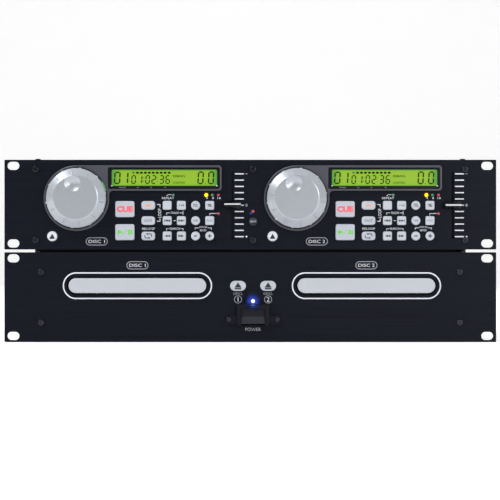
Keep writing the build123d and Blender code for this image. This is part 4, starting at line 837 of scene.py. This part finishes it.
def display(number):
    """One lit display: its ground, its figures and words and the dark mask round it."""
    window = window_middle(number)
    middle = window + Vector((LCD_RIGHT, 0, LCD_UP))
    pane_front, pane_back = (corner.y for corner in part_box("display_windows"))
    ground_front = pane_back + 0.12 * MM
    layers = [(0, pane_back + 0.3 * MM), (0, ground_front)]
    verts, faces = stacked(middle.x, middle.z, LCD_SIZE, layers)
    build(f"display_ground_{number}", verts, faces, lcd_finish(number, middle), "case")
    left = middle.x - LCD_SIZE[0] / 2

    def on_window(tag, sheet, finish):
        sheet.piece(f"display_{tag}_{number}", finish, "case", "window")

    figures = Printing(ground_front, THIN)
    for figure, at in (("0", 5.5), ("1", 13.2)):
        digit(figures, figure, left + at * MM, middle.z, *TRACK_FIGURE)
    low_z = middle.z - 1.7 * MM
    for figure, at in (("0", 21.5), ("1", 27.8), ("0", 35.3), ("2", 41.3), ("3", 49.0), ("6", 55.0)):
        digit(figures, figure, left + at * MM, low_z, *TIME_FIGURE)
    for at in (31.4, 44.9):
        for up in (-1.6, 1.6):
            block(figures, left + at * MM, low_z + up * MM, 0.75 * MM, 0.75 * MM)
    for at in (87.3, 97.5):
        digit(figures, "0", left + at * MM, middle.z, *PITCH_FIGURE)
    block(figures, left + 91.95 * MM, middle.z - 5.8 * MM, 0.95 * MM, 0.95 * MM)
    on_window("figures", figures, SEGMENT)

    small = Printing(ground_front, THIN)
    for text, up in (("REMAIN", 1.7), ("CONTINU", -4.8)):
        small.text(text, left + 66.0 * MM, middle.z + up * MM, 2.2 * MM, 11.9 * MM, 0.02)
    on_window("words", small, SEGMENT_DIM)

    bar_z = middle.z + 5.0 * MM
    blocks = Printing(ground_front, THIN)
    for step in range(9):
        block(blocks, left + (25.25 + 3.88 * step) * MM, bar_z, 2.65 * MM, 1.95 * MM)
    on_window("bar", blocks, SEGMENT_BOLD)
    dim = Printing(ground_front, THIN)
    block(dim, left + 21.3 * MM, bar_z, 2.65 * MM, 1.8 * MM)
    on_window("dim_block", dim, print_ink(f"dim_block_{number}", srgb(70, 160, 78)))

    mask = Printing(pane_front + 0.01 * MM, 0.05 * MM)
    mask.between(*([(at.x + px, at.z + pz) for px, pz in rounded_loop(*size, 10)]
                   for at, size in ((window, MASK_SIZE), (middle, LCD_SIZE))))
    on_window("mask", mask, MASK)
    labels = Printing(pane_front - THIN, THIN)
    for text, at, wide in (("TRACK", 10.5, 7.0), ("M", 25.8, 1.4), ("S", 38.7, 1.2), ("F", 52.7, 1.1)):
        labels.text(text, left + at * MM, window.z - 9.2 * MM, 1.1 * MM, wide * MM, 0.02)
    on_window("labels", labels, GREY_INK)
    # Painted highlights: small white dots at the lit ground's two lower corners, in the white ink.
    corners = Printing(pane_front - THIN, THIN)
    for side in (-1, 1):
        place = (middle.x + side * (LCD_SIZE[0] / 2 - 0.2 * MM), middle.z - LCD_SIZE[1] / 2 + 0.2 * MM)
        corners.plate(arc_points(*place, 0.6 * MM, 0.6 * MM, 0, 342, 19))
    on_window("glints", corners, WHITE_INK_AND_GLINTS)


for deck in DECKS:
    display(deck)


# ---------- indicator lamps
LAMP_R, LIT_LAMP_R = 1.4 * MM, 1.65 * MM


def lens(name, x, z, finish, radius=LAMP_R, proud=0.75 * MM):
    """A small domed lens over a lamp."""
    layers = [(0.0, PANEL_Y + 0.2 * MM), (0.0, PANEL_Y - 0.1 * MM)]
    for turn in (20, 40, 60, 78):
        layers.append((radius * (1 - cos(radians(turn))), PANEL_Y - 0.1 * MM - proud * sin(radians(turn))))
    verts, faces = stacked(x, z, (2 * radius, 2 * radius, radius), layers, 6)
    build(name, verts, faces, finish, "case", smooth=True)


def halo(name, x, z, depth, reach, colour, strength, core, outline=None):
    """A halo on the panel round a lit lamp: as strong as given up to its core, none at its reach."""
    finish = Finish(f"{name}_light", srgb(0, 0, 0), 0.9, Specular_IOR_Level=0.0)
    across = finish.maths("SUBTRACT", finish.axis(0), x)
    up = finish.maths("SUBTRACT", finish.axis(2), z)
    square = finish.maths("ADD", *(finish.maths("MULTIPLY", part, part) for part in (across, up)))
    fade = finish.spread(finish.maths("SQRT", square), strength, 0.0, core, reach)
    finish.use("Alpha", finish.maths("POWER", fade, 3.0)).shine(1.0, colour)
    sheet = Printing(depth, 0.02 * MM)
    sheet.plate(outline or arc_points(x, z, reach, reach, 0, 351, 39))
    sheet.piece(name, finish, "case", "window")


YELLOW_LIT = lit("lamp_yellow_lit", srgb(255, 244, 0), 1.3)
GREEN_LAMP = mottled("lamp_green", srgb(78, 146, 118), 0.3, 900.0, 0.04, 0.0)
RED_LAMP = mottled("lamp_red", srgb(190, 74, 80), 0.3, 900.0, 0.04, 0.0)
BLUE_LAMP = mottled("lamp_blue", srgb(32, 42, 140), 0.3, 900.0, 0.04, 0.0)
BLUE_LIT = lit("lamp_blue_lit", srgb(236, 246, 255), 1.6)


def deck_point(number, dx, dz):
    """A place on a control deck."""
    return DECK_X[number] + dx * MM, CONTROL.z + dz * MM


LAMPS = (("repeat", 30.6, 9.45, GREEN_LAMP), ("range_4", 63.2, 9.45, YELLOW_LIT),
         ("range_8", 69.05, 9.45, GREEN_LAMP), ("range_16", 75.1, 9.45, RED_LAMP),
         ("pitch", 75.1, -8.75, RED_LAMP))
for deck in DECKS:
    for tag, dx, dz, finish in LAMPS:
        place = deck_point(deck, dx, dz)
        lens(f"lamp_{tag}_{deck}", *place, finish, LIT_LAMP_R if finish is YELLOW_LIT else LAMP_R)
        if finish is YELLOW_LIT:
            halo(f"lamp_{tag}_{deck}_halo", *place, PANEL_Y, 3.6 * MM, srgb(255, 150, 30), 0.8, 1.4 * MM)
lens("lamp_relay", CENTRE_X, CONTROL.z - 6.65 * MM, RED_LAMP, 1.5 * MM)
lens("lamp_status", CENTRE_X - 2.0 * MM, CONTROL.z - 8.75 * MM, BLUE_LAMP, 1.3 * MM)
POWER_LAMP_Z = DRIVE.z - 3.95 * MM
lens("lamp_power", CENTRE_X, POWER_LAMP_Z, BLUE_LIT, 1.7 * MM, 1.3 * MM)
halo("lamp_power_halo", CENTRE_X, POWER_LAMP_Z, PANEL_Y, 10.0 * MM, srgb(72, 96, 235), 1.0, 1.2 * MM)
guard_low, guard_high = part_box("power_switch_guard")
halo("guard_halo", CENTRE_X, POWER_LAMP_Z, guard_low.y, 12.0 * MM, srgb(60, 84, 200), 0.66, 3.0 * MM,
     arc_points(CENTRE_X, guard_high.z - 0.5 * MM, 8.0 * MM, 5.0 * MM, 180, 360, 20))
glint = Printing(guard_low.y - 0.03 * MM, 0.02 * MM)
block(glint, CENTRE_X, guard_high.z - 0.9 * MM, 2.8 * MM, 0.5 * MM)
glint.piece("guard_glint", lit("glint_cyan", srgb(40, 120, 190), 0.7), "case", "window")


# ---------- marks on the controls
def fader_line(number, lift):
    """The white line across the ridge of a pitch fader."""
    node = f"pitch_fader_{number}"
    middle = centre(node)
    sheet = Printing(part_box(node)[0].y, 0.05 * MM)
    block(sheet, middle.x, middle.z + lift, extent(node).x - 0.6 * MM, 1.15 * MM)
    sheet.piece(f"{node}_line", WHITE_INK_AND_GLINTS, frame["nodes"][node]["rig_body"])


for deck, lift in ((1, 0.9 * MM), (2, 0.0)):
    fader_line(deck, lift)


SLEEVE_SIDES, SLEEVE_EDGE = 48, 0.15 * MM


def sleeve(name, x, z, depths, radii, finish, slot):
    """A round sleeve between two depths and two radii."""
    (near, far), (outer, inner) = depths, radii
    turns = [2 * pi * side / SLEEVE_SIDES for side in range(SLEEVE_SIDES)]
    section = ((outer, near), (outer, far), (inner, far), (inner, near))
    verts, faces = rings_loop([[(x + radius * cos(turn), depth, z + radius * sin(turn)) for turn in turns]
                               for radius, depth in section])
    soften(build(name, verts, faces, finish, "case"), SLEEVE_EDGE)


for deck in DECKS:
    key = centre(f"eject_key_{deck}")
    sleeve(f"eject_ring_{deck}", key.x, key.z, (PANEL_Y + 0.2 * MM, PANEL_Y - 0.5 * MM),
           (6.2 * MM, 5.15 * MM), MOULDED, "window")


# ---------- printing on the faceplates
LINE = 0.5 * MM


def pill_label(white, grey, text, x, z):
    """A word inside a pill-shaped outline."""
    grey.band(x, z, 21.4 * MM, 7.8 * MM, 3.9 * MM, 0.62 * MM)
    white.text(text, x, z, 3.1 * MM, 16.0 * MM, 0.0)


def bracket(sheet, x, z, half, drop, gap):
    """A line with turned-down ends and a space in its middle for a word."""
    for side in (-1, 1):
        sheet.line([(x + side * gap, z), (x + side * half, z), (x + side * half, z - drop)], LINE)


# Words on a deck: text, place from the deck's middle, height and width.
DECK_WORDS = (
    ("REPEAT", 25.6, 6.4, 2.1, 11.8), ("RELOOP", 6.6, -23.6, 2.3, 12.4), ("TRACK", 32.3, -8.1, 2.1, 8.3),
    ("SEARCH", 32.3, -23.6, 2.1, 10.4), ("PITCH", 60.2, -22.1, 1.8, 7.4), ("BEND", 60.2, -25.2, 1.8, 6.4),
    ("4", 63.8, 6.5, 1.95, 1.6), ("8", 69.8, 6.5, 1.95, 1.6), ("16", 75.8, 6.5, 1.95, 3.3),
)
SCALE_STEP, SCALE_MIDDLE = 6.16, -0.6


def deck_printing(sheet, grey, number):
    """The words, brackets and scale of one deck."""
    def at(dx, dz):
        return deck_point(number, dx, dz)

    for text, dx, dz, high, wide in DECK_WORDS:
        sheet.text(text, *at(dx, dz), high * MM, wide * MM, 0.0)
    sheet.line([at(24.4, 8.2), at(24.4, 8.6), at(25.6, 9.8), at(28.8, 9.8)], LINE)
    bracket(sheet, *at(32.3, -8.1), 8.1 * MM, 1.8 * MM, 4.8 * MM)
    sheet.line([at(40.4, -8.1), at(40.4, -6.1)], LINE)
    sheet.line([at(31.0, -15.7), at(33.4, -15.7)], 0.6 * MM)
    bracket(sheet, *at(32.3, -23.6), 8.1 * MM, 1.8 * MM, 5.8 * MM)
    bracket(sheet, *at(60.2, -22.8), 8.0 * MM, 1.6 * MM, 4.4 * MM)
    sheet.line([at(66.6, -10.6), at(66.6, -8.7), at(73.4, -8.7)], LINE)
    for dz, turn in ((0.1, 1), (-16.3, -1)):
        sheet.line([at(14.8, dz), at(17.8, dz), at(17.8, dz - turn * 2.6)], 0.6 * MM)
    sheet.text("LOOP", *at(17.5, -8.4), 3.2 * MM, 9.0 * MM, 0.0, 0.0, True)
    pill_label(sheet, grey, f"DISC {number}", *at(-44.3, -36.1))
    for step in range(-5, 6):
        height = SCALE_MIDDLE + SCALE_STEP * step
        sheet.line([at(91.2, height), at(100.0, height)], 1.1 * MM)
    x, z = at(102.6, SCALE_MIDDLE)
    grey.text("0", x, z, 2.8 * MM, 2.0 * MM, 0.03)
    block(grey, x, z + 5 * SCALE_STEP * MM, 2.0 * MM, 0.6 * MM)
    cross(sheet, x, z - 5 * SCALE_STEP * MM, 1.05 * MM, 0.6 * MM)


def controller_printing():
    """Everything printed on the controller's faceplate."""
    sheet, grey = Printing(PANEL_Y), Printing(PANEL_Y)
    for number in DECKS:
        deck_printing(sheet, grey, number)
    sheet.piece("controller_printing", WHITE_INK_AND_GLINTS, "case", "faceplate")
    grey.piece("controller_grey_printing", DIM_INK, "case", "faceplate")


def drive_printing():
    """Everything printed on the drive unit's faceplate."""
    sheet, grey = Printing(PANEL_Y), Printing(PANEL_Y)
    for number in DECKS:
        tray = centre(f"disc_tray_{number}")
        sheet.band(tray.x, tray.z, 146.45 * MM, 26.3 * MM, 13.0 * MM, 1.25 * MM, 20)
        pill_label(sheet, grey, f"DISC {number}", tray.x, DRIVE.z + 31.25 * MM)
        key = centre(f"open_close_key_{number}")
        grey.text("OP/CL", key.x, DRIVE.z + 3.5 * MM, 2.3 * MM, 9.2 * MM, -0.005)
        grey.band(key.x, DRIVE.z - 2.25 * MM, 7.6 * MM, 7.6 * MM, 3.8 * MM, 0.5 * MM)
        sheet.text(str(number), key.x, DRIVE.z - 2.25 * MM, 4.2 * MM, None, -0.005)
    sheet.text("POWER", CENTRE_X, DRIVE.z - 31.65 * MM, 3.2 * MM, 15.2 * MM, -0.02)
    sheet.piece("drive_printing", WHITE_INK_AND_GLINTS, "case", "faceplate")
    grey.piece("drive_grey_printing", DIM_INK, "case", "faceplate")


controller_printing()
drive_printing()


# ---------- sockets on the backs
BACK_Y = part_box("drive_chassis")[1].y
PHONO_X = (-186.0, -92.0)
PHONO_SOCKETS = (("left", 0.0, 52.0, WHITE_RING), ("right", 0.0, 34.0, RED_RING),
                 ("digital", 24.0, 43.0, BLACK_RING))
COLLAR_DEPTHS, COLLAR_RADII = (BACK_Y + 2.05 * MM, BACK_Y + 2.9 * MM), (5.6 * MM, 4.2 * MM)
CONTACT_DEPTHS, CONTACT_RADII = (BACK_Y + 2.9 * MM, BACK_Y + 8.98 * MM), (4.22 * MM, 3.4 * MM)
for index, x in enumerate(PHONO_X, 1):
    for tag, dx, z, colour in PHONO_SOCKETS:
        name, place = f"phono_{tag}_{index}", ((x + dx) * MM, z * MM)
        sleeve(f"{name}_collar", *place, COLLAR_DEPTHS, COLLAR_RADII, colour, "socket")
        sleeve(f"{name}_contact", *place, CONTACT_DEPTHS, CONTACT_RADII, NICKEL, "socket")


# ---------- stage, light and camera
def stage():
    """A pale floor and the backdrop far behind it, white to the camera."""
    finish = Finish("studio_white", (0.8, 0.8, 0.8, 1), 0.9)
    path = finish.node("ShaderNodeLightPath")
    mirrored = finish.maths("MAXIMUM", path.outputs["Is Glossy Ray"], path.outputs["Is Transmission Ray"])
    seen = finish.maths("MAXIMUM", path.outputs["Is Camera Ray"], mirrored)
    finish.shine(0.0, (1, 1, 1, 1)).use("Emission Strength", finish.maths("MULTIPLY", seen, 0.45))
    half, near, far, high = 6.0, -4.0, 3.0, 5.0
    verts = [(-half, near, 0), (half, near, 0), (half, far, 0), (-half, far, 0),
             (half, far, high), (-half, far, high)]
    mesh = bpy.data.meshes.new("studio_sweep")
    mesh.from_pydata(verts, [], [(0, 1, 2, 3), (3, 2, 4, 5)])
    mesh.materials.append(finish.material)
    sweep = placed("studio_sweep", mesh)


def area_light(name, place, target, size, power):
    """A soft rectangular lamp aimed at a place."""
    lamp = bpy.data.lights.new(name, "AREA")
    lamp.shape, lamp.size, lamp.size_y = "RECTANGLE", size[0], size[1]
    lamp.energy = power
    holder = placed(name, lamp)
    holder.location = place
    holder.rotation_euler = (Vector(target) - Vector(place)).to_track_quat("-Z", "Y").to_euler()


def lights():
    """Soft lamps at the upper left, right, front and back, in a surround that is dimmer in front."""
    middle = (0, PANEL_Y, 0.09)
    area_light("left_light", (-1.25, -0.85, 1.65), middle, (1.2, 0.8), 31.0)
    area_light("right_light", (1.5, -1.35, 0.75), middle, (0.9, 0.7), 9.0)
    area_light("front_light", (1.05, -2.15, 0.3), middle, (0.9, 0.7), 9.5)
    area_light("back_light", (0.4, 1.9, 1.3), (0, 0.1, 0.08), (1.6, 1.0), 12.0)
    world = bpy.data.worlds.new("studio")
    world.use_nodes = True
    tree = world.node_tree
    ground = tree.nodes["Background"]
    ground.inputs["Color"].default_value = (1, 1, 1, 1)
    place = add_node(tree, "ShaderNodeTexCoord").outputs["Generated"]
    depth = add_node(tree, "ShaderNodeSeparateXYZ", {0: place}).outputs["Y"]
    surround = add_node(tree, "ShaderNodeMapRange", {"Value": depth, "From Min": -1.0, "From Max": -0.2,
                                                     "To Min": 0.12, "To Max": 0.75}).outputs[0]
    direct = add_node(tree, "ShaderNodeLightPath").outputs["Is Camera Ray"]
    seen = add_node(tree, "ShaderNodeMath", {0: direct, 1: surround}, operation="MAXIMUM").outputs[0]
    tree.links.new(seen, ground.inputs["Strength"])
    bpy.context.scene.world = world


PICTURE_W = 490.65 * MM
CAMERA_AWAY = 1.9
CAMERA_X, CAMERA_Z = -0.3 * MM, 90.62 * MM


def camera():
    """A straight front view at the height of the stack's middle."""
    eye = bpy.data.cameras.new("front_camera")
    eye.sensor_width = 36.0
    eye.lens = eye.sensor_width * CAMERA_AWAY / PICTURE_W
    eye.clip_end = 50.0
    holder = placed("front_camera", eye)
    holder.location = (CAMERA_X, PANEL_Y - CAMERA_AWAY, CAMERA_Z)
    holder.rotation_euler = (pi / 2, 0, 0)
    bpy.context.scene.camera = holder


stage()
lights()
camera()
bpy.context.scene.view_settings.view_transform = "Standard"
